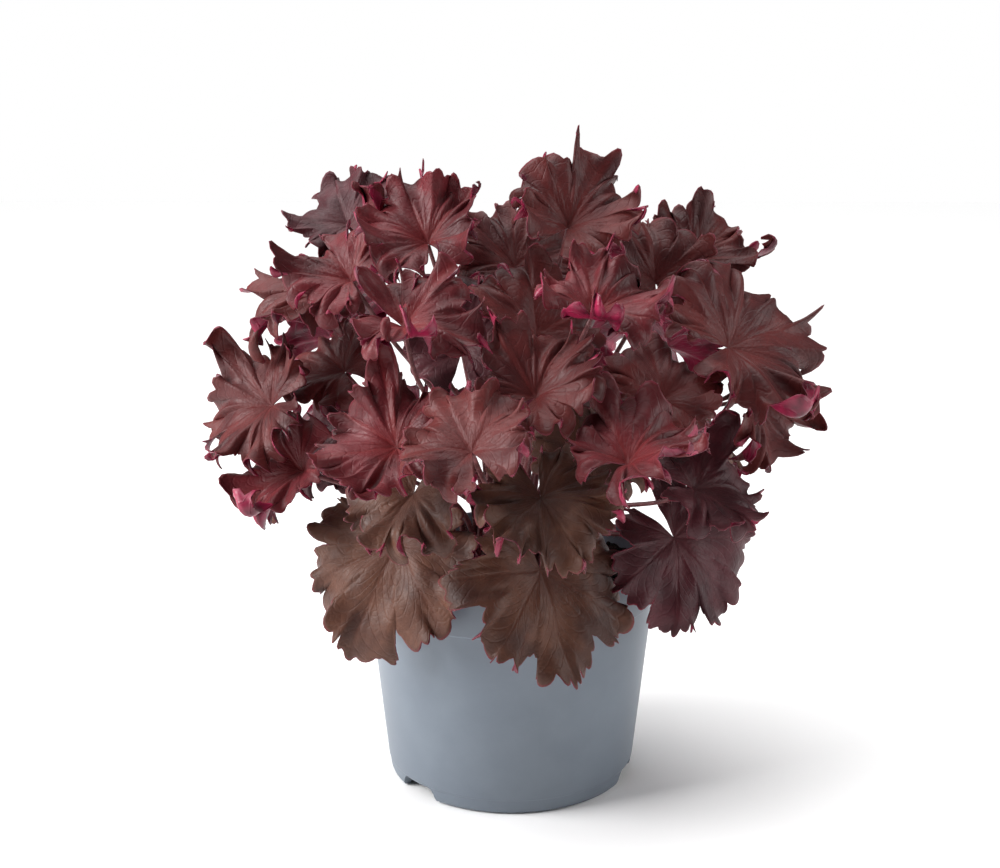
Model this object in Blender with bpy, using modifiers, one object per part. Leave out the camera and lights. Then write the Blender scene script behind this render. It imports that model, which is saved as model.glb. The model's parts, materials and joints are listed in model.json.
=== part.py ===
# A heuchera plant with ruffled palmate leaves, standing in the round plastic pot it was grown in.
import math
from collections import namedtuple

import bmesh
import bpy
import numpy as np
from mathutils.bvhtree import BVHTree

# Driving dimensions, in millimetres
MM = 0.001
RIM_RADIUS = 65.0
POT_HEIGHT = 100.0
BAND_HEIGHT = 17.6
BAND_STEP = 0.9
FOOT_RADIUS = 54.3
FOOT_HEIGHT = 6.2
WALL = 1.6
PLATE_LIFT = 2.0
PLATE_RADIUS = 34.0
TURN_STEPS = 32
NOTCH_AZIMUTHS = (-48.0, 72.0, 192.0)
NOTCH_HEIGHT = 6.0
NOTCH_HALF_ANGLE_LOW = 13.0
NOTCH_HALF_ANGLE_HIGH = 8.5
GAP = 0.3
SOIL_LEVEL = 91.0
CROWN_RADIUS = 27.0
CROWN_FOOT = 82.0
CROWN_TOP = 97.0
STALK_SOCKET_FLOOR = 86.0
STALK_RADIUS = 1.4
STALK_INSET = 3.4
SOCKET_SIDES = 4
SOCKET_CLEARANCE = 1.05
BLADE_THICKNESS = 0.8
CLEAR_THICKNESS = 1.3

# The picture's viewing point, so that a leaf can be put where the picture shows it
VIEW_POINT = np.array([0.0, -650.0, 309.9])
VIEW_FOCUS = 1526.6
VIEW_PITCH = math.radians(13.51)
VIEW_YAW = math.radians(-0.43)
PICTURE_CENTRE = (500.0, 434.0)

# The dome that the leaf hubs lie on
DOME_CENTRE = np.array([4.0, 0.0, 165.0])
DOME_RADII_ABOVE = np.array([104.0, 92.0, 88.0])
DOME_RADII_BELOW = np.array([104.0, 92.0, 62.0])
HIGH_HUB = 235.0
HUB_RANGE = 110.0

Shape = namedtuple("Shape", "lobes rise fall ruffle fold curls seed")
Leaf = namedtuple("Leaf", "tone size hub midrib face slide shape")

# Blade styles: slope at the hub and at the margin, height of the waves and fold along the midrib, in degrees
OLD = dict(lobes=7, rise=10.0, fall=30.0, ruffle=24.0, fold=5.0)
BROAD = dict(lobes=7, rise=22.0, fall=34.0, ruffle=44.0, fold=8.0)
FRILLED = dict(lobes=5, rise=34.0, fall=28.0, ruffle=54.0, fold=10.0)
PLAIN = dict(lobes=5, rise=22.0, fall=32.0, ruffle=44.0, fold=8.0)
STYLES = {"old": OLD, "broad": BROAD, "frilled": FRILLED, "plain": PLAIN}

# Leaves that the picture shows, the outermost first: style, tone, hub and tip in the picture,
# layer of the dome, azimuth and elevation that the blade faces, and the lobes that curl over
SEEN = (
    ("old", "bronze", (398, 545), (356, 648), 1.04, -22, 30, {5: 130}),
    ("old", "bronze", (540, 570), (570, 676), 1.10, 4, 22, {}),
    ("old", "plum", (674, 538), (738, 614), 1.03, 30, 28, {}),
    ("broad", "bronze", (541, 498), (570, 566), 1.10, 2, 52, {1: 150}),
    ("broad", "crimson", (397, 448), (332, 416), 1.06, -14, 44, {2: 140, 5: 130}),
    ("broad", "brown", (728, 348), (806, 328), 0.98, 36, 44, {1: 140, 5: -80}),
    ("broad", "brown", (272, 406), (204, 422), 1.00, -38, 40, {2: 140}),
    ("frilled", "crimson", (592, 316), (650, 298), 1.02, 10, 60, {0: 140, 3: 140}),
    ("frilled", "crimson", (404, 328), (448, 336), 1.02, -6, 58, {1: 150}),
    ("frilled", "crimson", (428, 244), (404, 192), 0.98, -8, 48, {1: 150}),
    ("frilled", "brown", (568, 228), (602, 172), 0.96, 12, 42, {0: 150}),
    ("broad", "brown", (334, 296), (266, 288), 0.92, -38, 46, {1: -60}),
    ("frilled", "brown", (748, 400), (780, 462), 0.96, 46, 28, {3: 140}),
    ("frilled", "brown", (692, 262), (712, 232), 0.92, 14, 46, {1: 140}),
    ("frilled", "crimson", (304, 472), (270, 496), 0.98, -44, 32, {3: 140}),
    ("plain", "brown", (660, 402), (652, 346), 0.88, 18, 44, {}),
    ("frilled", "brown", (536, 398), (566, 372), 1.00, 2, 62, {3: 150}),
    ("plain", "bronze", (550, 462), (578, 404), 0.86, 6, 48, {}),
    ("plain", "plum", (694, 490), (744, 492), 0.94, 34, 44, {3: 140}),
    ("plain", "bronze", (414, 494), (392, 528), 0.94, -14, 44, {}),
    ("broad", "brown", (514, 268), (508, 200), 0.80, -4, 40, {}),
    ("plain", "brown", (472, 474), (450, 434), 0.98, -6, 54, {}),
    ("frilled", "crimson", (352, 282), (322, 252), 0.98, -22, 54, {1: 150}),
    ("plain", "brown", (536, 334), (520, 258), 0.74, 4, 34, {}),
    ("plain", "brown", (655, 282), (640, 230), 0.78, 14, 42, {}),
    ("frilled", "crimson", (628, 486), (652, 466), 1.00, 14, 54, {1: 140}),
    ("plain", "brown", (345, 372), (306, 340), 0.76, -28, 44, {}),
    ("plain", "plum", (350, 262), (336, 226), 0.80, -30, 40, {}),
    ("plain", "plum", (462, 350), (462, 300), 0.66, -4, 44, {}),
    ("plain", "brown", (610, 430), (600, 380), 0.74, 10, 46, {}),
    ("plain", "plum", (340, 452), (300, 440), 0.80, -34, 40, {}),
)

# Leaves of the far side, which the picture hides, in rows from the lowest to the highest:
# style, tone, count, height angle on the dome, layer, size and the arc that the row spans
FAR_ROWS = (
    ("old", "bronze", 5, -18.0, 0.92, 42.0, 160.0),
    ("plain", "brown", 4, 14.0, 0.88, 42.0, 136.0),
    ("plain", "brown", 2, 46.0, 0.80, 38.0, 90.0),
)

LOBE_SPREAD = {7: 48.0, 5: 64.0}
LOBE_LENGTHS = {7: (0.60, 0.80, 0.94, 1.0, 0.94, 0.80, 0.60), 5: (0.68, 0.88, 1.0, 0.88, 0.68)}
BLADE_END_ANGLE = math.radians(168.0)
SINUS_DEPTH = 0.22
CRENATION = 0.09
RADIAL_STEPS = np.linspace(0.0, 1.0, 25)


def unit(v):
    """The vector of length 1 along v."""
    return v / np.linalg.norm(v)


def smooth(x):
    """3x^2 - 2x^3, held at 0 below x = 0 and at 1 above x = 1."""
    x = np.clip(x, 0.0, 1.0)
    return x * x * (3.0 - 2.0 * x)


def direction(azimuth, elevation):
    """Unit vector: azimuth in degrees from the front (-Y) towards +X, elevation up from the floor."""
    a, h = math.radians(azimuth), math.radians(elevation)
    return np.array([math.sin(a) * math.cos(h), -math.cos(a) * math.cos(h), math.sin(h)])


def sight_line(spot):
    """Unit vector from the viewing point through a place in the picture."""
    ahead = np.array([math.sin(VIEW_YAW) * math.cos(VIEW_PITCH), math.cos(VIEW_YAW) * math.cos(VIEW_PITCH),
                      -math.sin(VIEW_PITCH)])
    right = np.array([math.cos(VIEW_YAW), -math.sin(VIEW_YAW), 0.0])
    up = np.cross(right, ahead)
    across = (spot[0] - PICTURE_CENTRE[0]) / VIEW_FOCUS
    down = (spot[1] - PICTURE_CENTRE[1]) / VIEW_FOCUS
    return unit(ahead + across * right - down * up)


def on_dome(line, layer):
    """First point of the sight line on the dome scaled by layer, or the point nearest to it."""
    start = VIEW_POINT - DOME_CENTRE
    level = start[2] + line[2] * 640.0
    radii = layer * (DOME_RADII_ABOVE if level > 0.0 else DOME_RADII_BELOW)
    p, d = start / radii, line / radii
    middle = -np.dot(p, d) / np.dot(d, d)
    miss = np.dot(p, p) - np.dot(d, d) * middle ** 2
    reach = math.sqrt(max(0.0, 1.0 - miss) / np.dot(d, d))
    return VIEW_POINT + (middle - reach) * line


def seen_leaves():
    """Leaves of the picture: the tip's sight line is cut by the plane that the blade lies in."""
    leaves = []
    for number, (style, tone, hub_spot, tip_spot, layer, azimuth, elevation, curls) in enumerate(SEEN):
        hub_line, tip_line = sight_line(hub_spot), sight_line(tip_spot)
        hub, face = on_dome(hub_line, layer), direction(azimuth, elevation)
        tip = VIEW_POINT + tip_line * np.dot(hub - VIEW_POINT, face) / np.dot(tip_line, face)
        size = float(np.clip(1.14 * np.linalg.norm(tip - hub), 35.0, 60.0))
        shape = Shape(curls=curls, seed=100 + number, **STYLES[style])
        leaves.append(Leaf(tone, size, hub, unit(tip - hub), face, hub_line, shape))
    return leaves


def far_leaves():
    """Leaves of the far side: each row is spread evenly, and the rows are turned against each other."""
    leaves = []
    for row, (style, tone, count, height, layer, size, arc) in enumerate(FAR_ROWS):
        for place in range(count):
            azimuth = 180.0 + (place - (count - 1) / 2.0) * arc / count
            radii = DOME_RADII_ABOVE if height > 0.0 else DOME_RADII_BELOW
            outward = direction(azimuth, height)
            face = direction(azimuth, 30.0 + 0.4 * max(height, 0.0))
            hub = DOME_CENTRE + outward * radii * layer
            midrib = unit(np.array([0.0, 0.0, -1.0 if row == 0 else 1.0]) + 0.5 * outward)
            midrib = unit(midrib - np.dot(midrib, face) * face)
            shape = Shape(curls={}, seed=500 + 20 * row + place, **STYLES[style])
            leaves.append(Leaf(tone, size, hub, midrib, face, -outward, shape))
    return leaves


def blade_surface(shape, size, u, e):
    """Points of a blade, one row for each u (counted in lobes along the margin), one column for each e.

    The margin is R(u) = size * lobe length * (1 - sinus) * (1 + teeth). Along each radius the slope
    b(u, e) goes from rise to -fall with broad and fine waves added that grow towards the margin, and
    the point is the sum of (cos b, sin b) R de from the hub out.
    """
    n = shape.lobes
    draw = np.random.default_rng(shape.seed)
    spread = np.radians(LOBE_SPREAD[n]) * (np.arange(n) - n // 2)
    knots = np.concatenate([[-0.5], np.arange(n), [n - 0.5]])
    spread = spread + np.radians(draw.uniform(-5, 5, n))
    angles = np.concatenate([[-BLADE_END_ANGLE], spread, [BLADE_END_ANGLE]])
    lengths = np.array(LOBE_LENGTHS[n]) * draw.uniform(0.92, 1.06, n)
    lifts = np.radians(draw.normal(0.0, 15.0, n))
    waves, beat = draw.uniform(0.45, 0.7), draw.uniform(1.2, 1.5)
    phase, fine_phase = draw.uniform(0, 2 * np.pi, 2)

    lobe = np.clip(np.round(u), 0, n - 1)
    w = u - lobe
    teeth = CRENATION * (np.abs(np.cos(3 * np.pi * w)) - 0.5)
    radius = size * np.interp(u, np.arange(n), lengths) * (1 - SINUS_DEPTH * np.abs(2 * w) ** 4) * (1 + teeth)

    s = RADIAL_STEPS[None, :]
    t = s * radius[:, None] / size
    ruffle = np.radians(shape.ruffle)
    psi = (2 * np.pi * waves * u + phase)[:, None]
    fine = (2 * np.pi * beat * u + 1.3 * np.sin(2 * np.pi * 0.37 * u + phase) + fine_phase)[:, None]
    slope = np.radians(shape.rise) * (1 - t) - np.radians(shape.fall) * t
    slope = slope + np.interp(u, np.arange(n), lifts)[:, None] * s ** 2
    slope = slope + 0.5 * ruffle * s ** 1.3 * np.sin(psi)
    slope = slope + 1.1 * ruffle * s ** 2.4 * np.sin(fine - 2.4 * s)
    for curled, angle in shape.curls.items():
        window = np.where(lobe == curled, np.cos(np.pi * w) ** 2, 0.0)[:, None]
        slope = slope + np.radians(angle) * window * smooth((s - 0.56) / 0.4)

    step = radius[:, None] * np.diff(RADIAL_STEPS)[None, :]
    middle = 0.5 * (slope[:, 1:] + slope[:, :-1])
    out = np.pad(np.cumsum(np.cos(middle) * step, axis=1), ((0, 0), (1, 0)))
    rise = np.pad(np.cumsum(np.sin(middle) * step, axis=1), ((0, 0), (1, 0)))
    fuller = np.clip(0.9 * radius / np.maximum(out[:, -1], 0.1), 0.9, 2.0)[:, None] ** 0.7
    out, rise = out * fuller, rise * fuller
    out = np.array([np.interp(e, RADIAL_STEPS, row) for row in out])
    rise = np.array([np.interp(e, RADIAL_STEPS, row) for row in rise])

    sway = min(1.0, shape.ruffle / 50.0) * e[None, :] ** 2 * np.sin(2 * fine) * 0.16 / beat
    angle = np.interp(u[:, None] + sway, knots, angles)
    rise = rise + 0.09 * (e * np.abs(2 * w)[:, None] ** 1.5) * radius[:, None] * (1 - 0.5 * e)
    x, y = out * np.cos(angle), out * np.sin(angle)
    fold = np.radians(shape.fold)
    return np.stack([x, y * np.cos(fold), rise + np.abs(y) * np.sin(fold)], axis=-1)


def zip_rows(first, second):
    """Triangles between two rows of (u, index), always stepping on the row whose next point comes first."""
    triangles, i, j = [], 0, 0
    while i < len(first) - 1 or j < len(second) - 1:
        step_first = j == len(second) - 1 or (i < len(first) - 1 and first[i + 1][0] < second[j + 1][0])
        if step_first:
            triangles.append((first[i][1], second[j][1], first[i + 1][1]))
            i += 1
        else:
            triangles.append((first[i][1], second[j][1], second[j + 1][1]))
            j += 1
    return triangles


def blade_cage(shape, size):
    """Local points and triangles of the open blade: the hub, two inner rows and the margin."""
    n = shape.lobes
    points, rows = [np.zeros(3)], [[(-0.5, 0)]]
    for e, per_lobe in ((0.42, 2), (0.76, 3), (1.0, 6)):
        u = np.linspace(-0.5, n - 0.5, per_lobe * n + 1)
        row = blade_surface(shape, size, u, np.array([e]))[:, 0]
        rows.append([(value, len(points) + i) for i, value in enumerate(u)])
        points.extend(row)
    triangles = [(0, a[1], b[1]) for a, b in zip(rows[1], rows[1][1:])]
    for inner, outer in zip(rows[1:], rows[2:]):
        triangles += zip_rows(inner, outer)
    return np.array(points), np.array(triangles)


def leaf_axes(midrib, face):
    """Matrix whose columns are the midrib, the blade's left and its upper face."""
    return np.stack([midrib, np.cross(face, midrib), face], axis=1)


def petiole_path(base, hub, axes, bow, turn):
    """Points of a stalk: straight up out of its socket, then a cubic to the hub from under the blade."""
    top = np.array([base[0], base[1], CROWN_TOP + 1.0])
    reach = np.linalg.norm(hub - top)
    arrive = unit(-0.9 * axes[:, 2] + turn * unit(top - hub) - 0.3 * axes[:, 0])
    a, b = top + np.array([0, 0, bow * reach]), hub + arrive * 0.35 * reach
    t = np.linspace(0.0, 1.0, 6)[:, None]
    curve = (1 - t) ** 3 * top + 3 * t * (1 - t) ** 2 * a + 3 * t ** 2 * (1 - t) * b + t ** 3 * hub
    foot = np.array([base[0], base[1], STALK_SOCKET_FLOOR + GAP])
    return np.vstack([foot, curve])


def tube(path, radius, sides=6):
    """Points and triangles of an open tube round a path, used to find where a stalk would cross a leaf."""
    along = np.gradient(path, axis=0)
    along = along / np.linalg.norm(along, axis=1)[:, None]
    side = np.cross(along, np.array([0.31, 0.95, 0.05]))
    side = side / np.linalg.norm(side, axis=1)[:, None]
    other = np.cross(along, side)
    turn = np.linspace(0, 2 * np.pi, sides, endpoint=False)
    ring = np.cos(turn)[None, :, None] * side[:, None, :] + np.sin(turn)[None, :, None] * other[:, None, :]
    points = (path[:, None, :] + radius * ring).reshape(-1, 3)
    k, m = np.meshgrid(np.arange(len(path) - 1), np.arange(sides), indexing="ij")
    a, b = k * sides + m, k * sides + (m + 1) % sides
    lower = np.stack([a, b, a + sides], axis=-1).reshape(-1, 3)
    upper = np.stack([b, b + sides, a + sides], axis=-1).reshape(-1, 3)
    return points, np.vstack([lower, upper])


def shell(points, triangles, thickness):
    """Both faces and the edge of a sheet, each point moved half the thickness along its normal."""
    corners = points[triangles]
    flat = np.cross(corners[:, 1] - corners[:, 0], corners[:, 2] - corners[:, 0])
    normals = np.zeros_like(points)
    for corner in range(3):
        np.add.at(normals, triangles[:, corner], flat)
    normals = normals / np.linalg.norm(normals, axis=1)[:, None]
    count = len(points)
    edges = np.vstack([triangles[:, [0, 1]], triangles[:, [1, 2]], triangles[:, [2, 0]]])
    keys = {tuple(edge) for edge in edges.tolist()}
    rim = np.array([edge for edge in edges.tolist() if (edge[1], edge[0]) not in keys])
    sides = np.vstack([np.stack([rim[:, 0], rim[:, 1], rim[:, 0] + count], 1),
                       np.stack([rim[:, 1], rim[:, 1] + count, rim[:, 0] + count], 1)])
    both = np.vstack([points + 0.5 * thickness * normals, points - 0.5 * thickness * normals])
    return both, np.vstack([triangles, triangles[:, ::-1] + count, sides])


def joined(*sheets):
    """One list of points and triangles from several."""
    points, triangles, start = [], [], 0
    for sheet_points, sheet_triangles in sheets:
        points.append(sheet_points)
        triangles.append(sheet_triangles + start)
        start += len(sheet_points)
    return np.vstack(points), np.vstack(triangles)


def tree(sheet):
    """Search tree over a sheet's triangles."""
    return BVHTree.FromPolygons(sheet[0].tolist(), sheet[1].tolist())


UP = np.array([0.0, 0.0, 1.0])
# Places that a leaf tries, in order, until it is clear of every leaf before it
DEPTHS = (0.0, 4.0, -4.0, 8.0, -8.0, 12.0, -12.0, 17.0, -17.0, 22.0, -22.0, 30.0, -30.0)
SIDESTEPS = ((0.0, 0.0), (0.0, 8.0), (0.0, -8.0), (8.0, 0.0), (-8.0, 0.0), (0.0, 16.0), (14.0, 0.0),
             (-14.0, 0.0))
SHIFTS = tuple((depth, across, up) for across, up in SIDESTEPS for depth in DEPTHS)
TILTS = ((0.0, 0.0), (9.0, 0.0), (-9.0, 0.0), (0.0, 9.0), (0.0, -9.0), (18.0, 0.0), (-18.0, 0.0), (0.0, 20.0),
         (0.0, -20.0))
SIZES = (1.0, 0.86)
ROUTES = tuple((slot, bow, turn) for slot in range(5) for bow in (0.35, 0.2, 0.5) for turn in (0.5, 1.1, 0.1))


def socket_places(count):
    """Where the stalks stand on the rootstock: a sunflower spiral, so that they are evenly apart."""
    i = np.arange(count) + 0.5
    radius = (CROWN_RADIUS - STALK_INSET) * np.sqrt(i / count)
    angle = i * math.radians(137.508)
    return np.stack([radius * np.cos(angle), radius * np.sin(angle)], axis=1)


def wished_foot(hub):
    """Where a stalk would best stand: under its leaf, and nearer the crown's edge the lower the leaf is."""
    share = np.clip((HIGH_HUB - hub[2]) / HUB_RANGE, 0.1, 1.0)
    return unit(hub[:2] - DOME_CENTRE[:2] + 1e-6) * (CROWN_RADIUS - STALK_INSET) * share


def tilted(leaf, tilt):
    """The leaf's midrib and face, turned about the blade's left and about its midrib."""
    left = np.cross(leaf.face, leaf.midrib)
    a, b = math.radians(tilt[0]), math.radians(tilt[1])
    midrib = leaf.midrib * math.cos(a) + leaf.face * math.sin(a)
    face = leaf.face * math.cos(a) - leaf.midrib * math.sin(a)
    return midrib, unit(face * math.cos(b) + left * math.sin(b))


def place_leaves(leaves, fixed):
    """Blades and stalks clear of each other: the first place tried that crosses nothing, or the least bad."""
    free = [place for place in socket_places(len(leaves))]
    sheets, owners, placed = [fixed], [np.full(len(fixed[1]), -1)], []
    for number, leaf in enumerate(leaves):
        obstacles = joined(*sheets)
        owner = np.concatenate(owners)
        search = tree(obstacles)
        wish = wished_foot(leaf.hub)
        near = sorted(range(len(free)), key=lambda k: np.linalg.norm(free[k] - wish))
        best = None
        for scale in SIZES:
            cage = blade_cage(leaf.shape, leaf.size * scale)
            for shift in SHIFTS:
                for tilt in TILTS:
                    midrib, face = tilted(leaf, tilt)
                    axes, hub = leaf_axes(midrib, face), leaf.hub + shift[0] * leaf.slide
                    hub = hub + shift[1] * unit(np.cross(leaf.slide, UP)) + shift[2] * UP
                    blade = (cage[0] @ axes.T + hub, cage[1])
                    thick = tree(shell(*blade, CLEAR_THICKNESS))
                    hits = len(search.overlap(thick))
                    if best is not None and hits >= best[0]:
                        continue
                    for slot, bow, turn in ROUTES:
                        if slot >= len(near):
                            continue
                        path = petiole_path(free[near[slot]], hub, axes, bow, turn)
                        stalk = tree(tube(path[1:], STALK_RADIUS + 0.5))
                        crossed = len(search.overlap(stalk))
                        own = len(thick.overlap(tree(tube(path[1:-1], STALK_RADIUS))))
                        if best is None or hits + crossed + 0.1 * own < best[0]:
                            best = (hits + crossed + 0.1 * own, near[slot], blade, path, axes, hub, scale)
                        if hits + crossed == 0:
                            break
                    if best[0] < 1.0:
                        break
                if best[0] < 1.0:
                    break
            if best[0] < 1.0:
                break
        cost, slot, blade, path, axes, hub, scale = best
        free.pop(slot)
        solid = joined(shell(*blade, BLADE_THICKNESS), tube(path, STALK_RADIUS))
        crossing = {int(owner[a]) for a, _ in search.overlap(tree(solid))}
        sheets.append(solid)
        owners.append(np.full(len(solid[1]), number))
        placed.append((leaf, blade, path, axes, hub, scale, crossing))
    return placed


def pot_profile():
    """Outer side of the pot from the rim down, under the base and up the inside, as (radius, height)."""
    band_foot = POT_HEIGHT - BAND_HEIGHT
    wall_top = RIM_RADIUS - 0.5 - BAND_STEP
    inside_top = RIM_RADIUS - 2.0
    inside_foot = FOOT_RADIUS - WALL - 0.4
    plate = PLATE_LIFT + WALL
    return (
        (inside_top + 0.3, POT_HEIGHT), (RIM_RADIUS - 0.4, POT_HEIGHT), (RIM_RADIUS, POT_HEIGHT - 0.5),
        (RIM_RADIUS - 0.5, band_foot + 0.3), (RIM_RADIUS - 0.8, band_foot), (wall_top, band_foot - 0.3),
        (FOOT_RADIUS + 1.3, FOOT_HEIGHT + 0.5), (FOOT_RADIUS + 0.9, FOOT_HEIGHT), (FOOT_RADIUS + 0.5, 2.2),
        (FOOT_RADIUS, 0.7), (FOOT_RADIUS - 0.8, 0.0), (FOOT_RADIUS - 3.0, 0.0),
        (FOOT_RADIUS - 4.0, PLATE_LIFT),
        (PLATE_RADIUS + 2.0, PLATE_LIFT), (PLATE_RADIUS, 0.0),
    ), (
        (PLATE_RADIUS - 1.0, WALL), (PLATE_RADIUS + 1.0, plate), (inside_foot, plate),
        (inside_foot + 0.9, plate + 3.0), (inside_top, POT_HEIGHT - 0.4),
    )


def soil_radius(height):
    """Radius of the soil where it meets the pot's inner wall, less the gap."""
    _, inside = pot_profile()
    (r0, z0), (r1, z1) = inside[-2], inside[-1]
    return r0 + (r1 - r0) * (height - z0) / (z1 - z0) - GAP - 0.15


def obstacle_sheet():
    """The pot's rim and outer wall as a turned sheet, for the leaves to stay clear of."""
    outside, _ = pot_profile()
    outline = [(RIM_RADIUS - 3.0, SOIL_LEVEL)] + [(r + 2 * GAP, z) for r, z in outside[:8]]
    turn = np.linspace(0, 2 * np.pi, TURN_STEPS, endpoint=False)
    points = np.array([[(r * np.cos(a), r * np.sin(a), z) for a in turn] for r, z in outline]).reshape(-1, 3)
    ring, k = np.meshgrid(np.arange(len(outline) - 1), np.arange(TURN_STEPS), indexing="ij")
    a, b = ring * TURN_STEPS + k, ring * TURN_STEPS + (k + 1) % TURN_STEPS
    lower = np.stack([a, a + TURN_STEPS, b], axis=-1).reshape(-1, 3)
    upper = np.stack([b, a + TURN_STEPS, b + TURN_STEPS], axis=-1).reshape(-1, 3)
    return points, np.vstack([lower, upper])


def material(name, colour, roughness):
    """Principled material of one part."""
    made = bpy.data.materials.new(name)
    made.use_nodes = True
    shader = made.node_tree.nodes["Principled BSDF"]
    shader.inputs["Base Color"].default_value = (*colour, 1.0)
    shader.inputs["Roughness"].default_value = roughness
    made.diffuse_color = (*colour, 1.0)
    return made


def mesh_object(name, points, faces, group):
    """Object from points in millimetres."""
    mesh = bpy.data.meshes.new(name)
    mesh.from_pydata((np.asarray(points) * MM).tolist(), [], [tuple(map(int, face)) for face in faces])
    made = bpy.data.objects.new(name, mesh)
    group.objects.link(made)
    return made


def turned(name, outline, group, steps=TURN_STEPS):
    """Screw of an outline in the XZ plane, which starts and ends on the axis."""
    edges = [(i, i + 1) for i in range(len(outline) - 1)]
    mesh = bpy.data.meshes.new(name)
    mesh.from_pydata([(r * MM, 0.0, z * MM) for r, z in outline], edges, [])
    made = bpy.data.objects.new(name, mesh)
    group.objects.link(made)
    screw = made.modifiers.new("Turn", "SCREW")
    screw.axis = "Z"
    screw.steps = screw.render_steps = steps
    screw.use_merge_vertices = True
    screw.merge_threshold = 0.00001
    return made


def frozen(made, group):
    """The object with its modifiers applied, or the curve as a mesh with its caps welded."""
    graph = bpy.context.evaluated_depsgraph_get()
    mesh = bpy.data.meshes.new_from_object(made.evaluated_get(graph))
    shape = bmesh.new()
    shape.from_mesh(mesh)
    bmesh.ops.remove_doubles(shape, verts=shape.verts, dist=0.000002)
    shape.to_mesh(mesh)
    shape.free()
    name = made.name
    bpy.data.objects.remove(made)
    result = bpy.data.objects.new(name, mesh)
    mesh.name = name
    group.objects.link(result)
    return result


def combine(made, other, operation, solver="EXACT"):
    """Boolean of two objects, left on the first one."""
    step = made.modifiers.new(operation.title(), "BOOLEAN")
    step.operation = operation
    step.solver = solver
    step.object = other


def finish(made, look):
    """Material and smooth shading with sharp edges kept."""
    made.data.materials.clear()
    made.data.materials.append(look)
    made.data.shade_smooth()
    made.data.set_sharp_from_angle(angle=math.radians(40))


def add_pot(parts, cutters):
    """Pot with its rim band, foot ring, lifted floor and three drainage notches."""
    outside, inside = pot_profile()
    outline = [(0.0, WALL), *inside, *outside, (0.0, 0.0)]
    pot = frozen(turned("pot", outline, parts), parts)
    notch_edge = ((-4.0, NOTCH_HALF_ANGLE_LOW + 1.0), (NOTCH_HEIGHT - 1.8, NOTCH_HALF_ANGLE_HIGH + 1.4),
                  (NOTCH_HEIGHT, NOTCH_HALF_ANGLE_HIGH - 1.0))
    notches = []
    for azimuth in NOTCH_AZIMUTHS:
        centre = math.radians(azimuth - 90.0)
        corners = []
        for radius in (FOOT_RADIUS - 7.0, FOOT_RADIUS + 6.0):
            for height, half in notch_edge:
                for side in (-1, 1):
                    turn = centre + side * math.radians(half)
                    corners.append((radius * math.cos(turn), radius * math.sin(turn), height))
        faces = [(0, 2, 3, 1), (2, 4, 5, 3), (6, 7, 9, 8), (8, 9, 11, 10), (0, 1, 7, 6), (4, 10, 11, 5),
                 (0, 6, 8, 2), (2, 8, 10, 4), (1, 3, 9, 7), (3, 5, 11, 9)]
        notches.append((np.array(corners), faces))
    points = np.vstack([corners for corners, _ in notches])
    faces = [tuple(12 * k + i for i in face) for k, (_, each) in enumerate(notches) for face in each]
    cutter = mesh_object("notch_cutter", points, faces, cutters)
    outward(cutter)
    cutter.hide_render = True
    cutter.display_type = "WIRE"
    combine(pot, cutter, "DIFFERENCE")
    finish(pot, material("pot", (0.216, 0.246, 0.287), 0.42))


def outward(made):
    """Faces of a closed mesh turned to point out."""
    shape = bmesh.new()
    shape.from_mesh(made.data)
    bmesh.ops.recalc_face_normals(shape, faces=shape.faces)
    shape.to_mesh(made.data)
    shape.free()


def add_soil(parts):
    """Potting soil that fills the pot, with a round recess for the rootstock."""
    floor = PLATE_LIFT + WALL + GAP
    recess = CROWN_RADIUS + GAP
    outline = [(0.0, CROWN_FOOT - GAP), (recess, CROWN_FOOT - GAP), (recess, SOIL_LEVEL - 0.6),
               (recess + 9.0, SOIL_LEVEL + 1.2), (recess + 20.0, SOIL_LEVEL - 0.3),
               (soil_radius(SOIL_LEVEL), SOIL_LEVEL), (soil_radius(floor + 4.0), floor + 4.0),
               (soil_radius(floor + 4.0) - 1.6, floor), (0.0, floor)]
    soil = frozen(turned("soil", outline, parts, steps=24), parts)
    finish(soil, material("soil", (0.012, 0.010, 0.009), 0.95))


def add_rootstock(parts, cutters, feet):
    """Low woody crown of the plant, with a plain socket for every stalk."""
    rows = 5
    outline = [(0.0, CROWN_TOP)]
    for k in range(1, rows):
        turn = math.radians(90.0 * k / rows)
        height = SOIL_LEVEL + 1.0 + (CROWN_TOP - SOIL_LEVEL - 1.0) * math.cos(turn)
        outline.append((CROWN_RADIUS * math.sin(turn), height))
    outline += [(CROWN_RADIUS, SOIL_LEVEL + 0.4), (CROWN_RADIUS, CROWN_FOOT), (0.0, CROWN_FOOT)]
    crown = frozen(turned("rootstock", outline, parts, steps=14), parts)
    points, faces, sides = [], [], SOCKET_SIDES
    for x, y in feet:
        start = len(points)
        for height in (STALK_SOCKET_FLOOR, CROWN_TOP + 3.0):
            for k in range(sides):
                turn = 2 * math.pi * k / sides
                radius = STALK_RADIUS + SOCKET_CLEARANCE
                points.append((x + radius * math.cos(turn), y + radius * math.sin(turn), height))
        faces.append(tuple(start + k for k in reversed(range(sides))))
        faces.append(tuple(start + sides + k for k in range(sides)))
        for k in range(sides):
            after = (k + 1) % sides
            faces.append((start + k, start + after, start + sides + after, start + sides + k))
    cutter = mesh_object("socket_cutter", points, faces, cutters)
    cutter.hide_render = True
    cutter.display_type = "WIRE"
    combine(crown, cutter, "DIFFERENCE")
    finish(crown, material("rootstock", (0.075, 0.042, 0.030), 0.85))


TONES = {
    "bronze": (0.070, 0.036, 0.028),
    "plum": (0.072, 0.026, 0.030),
    "brown": (0.088, 0.032, 0.030),
    "crimson": (0.125, 0.026, 0.034),
}


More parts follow.
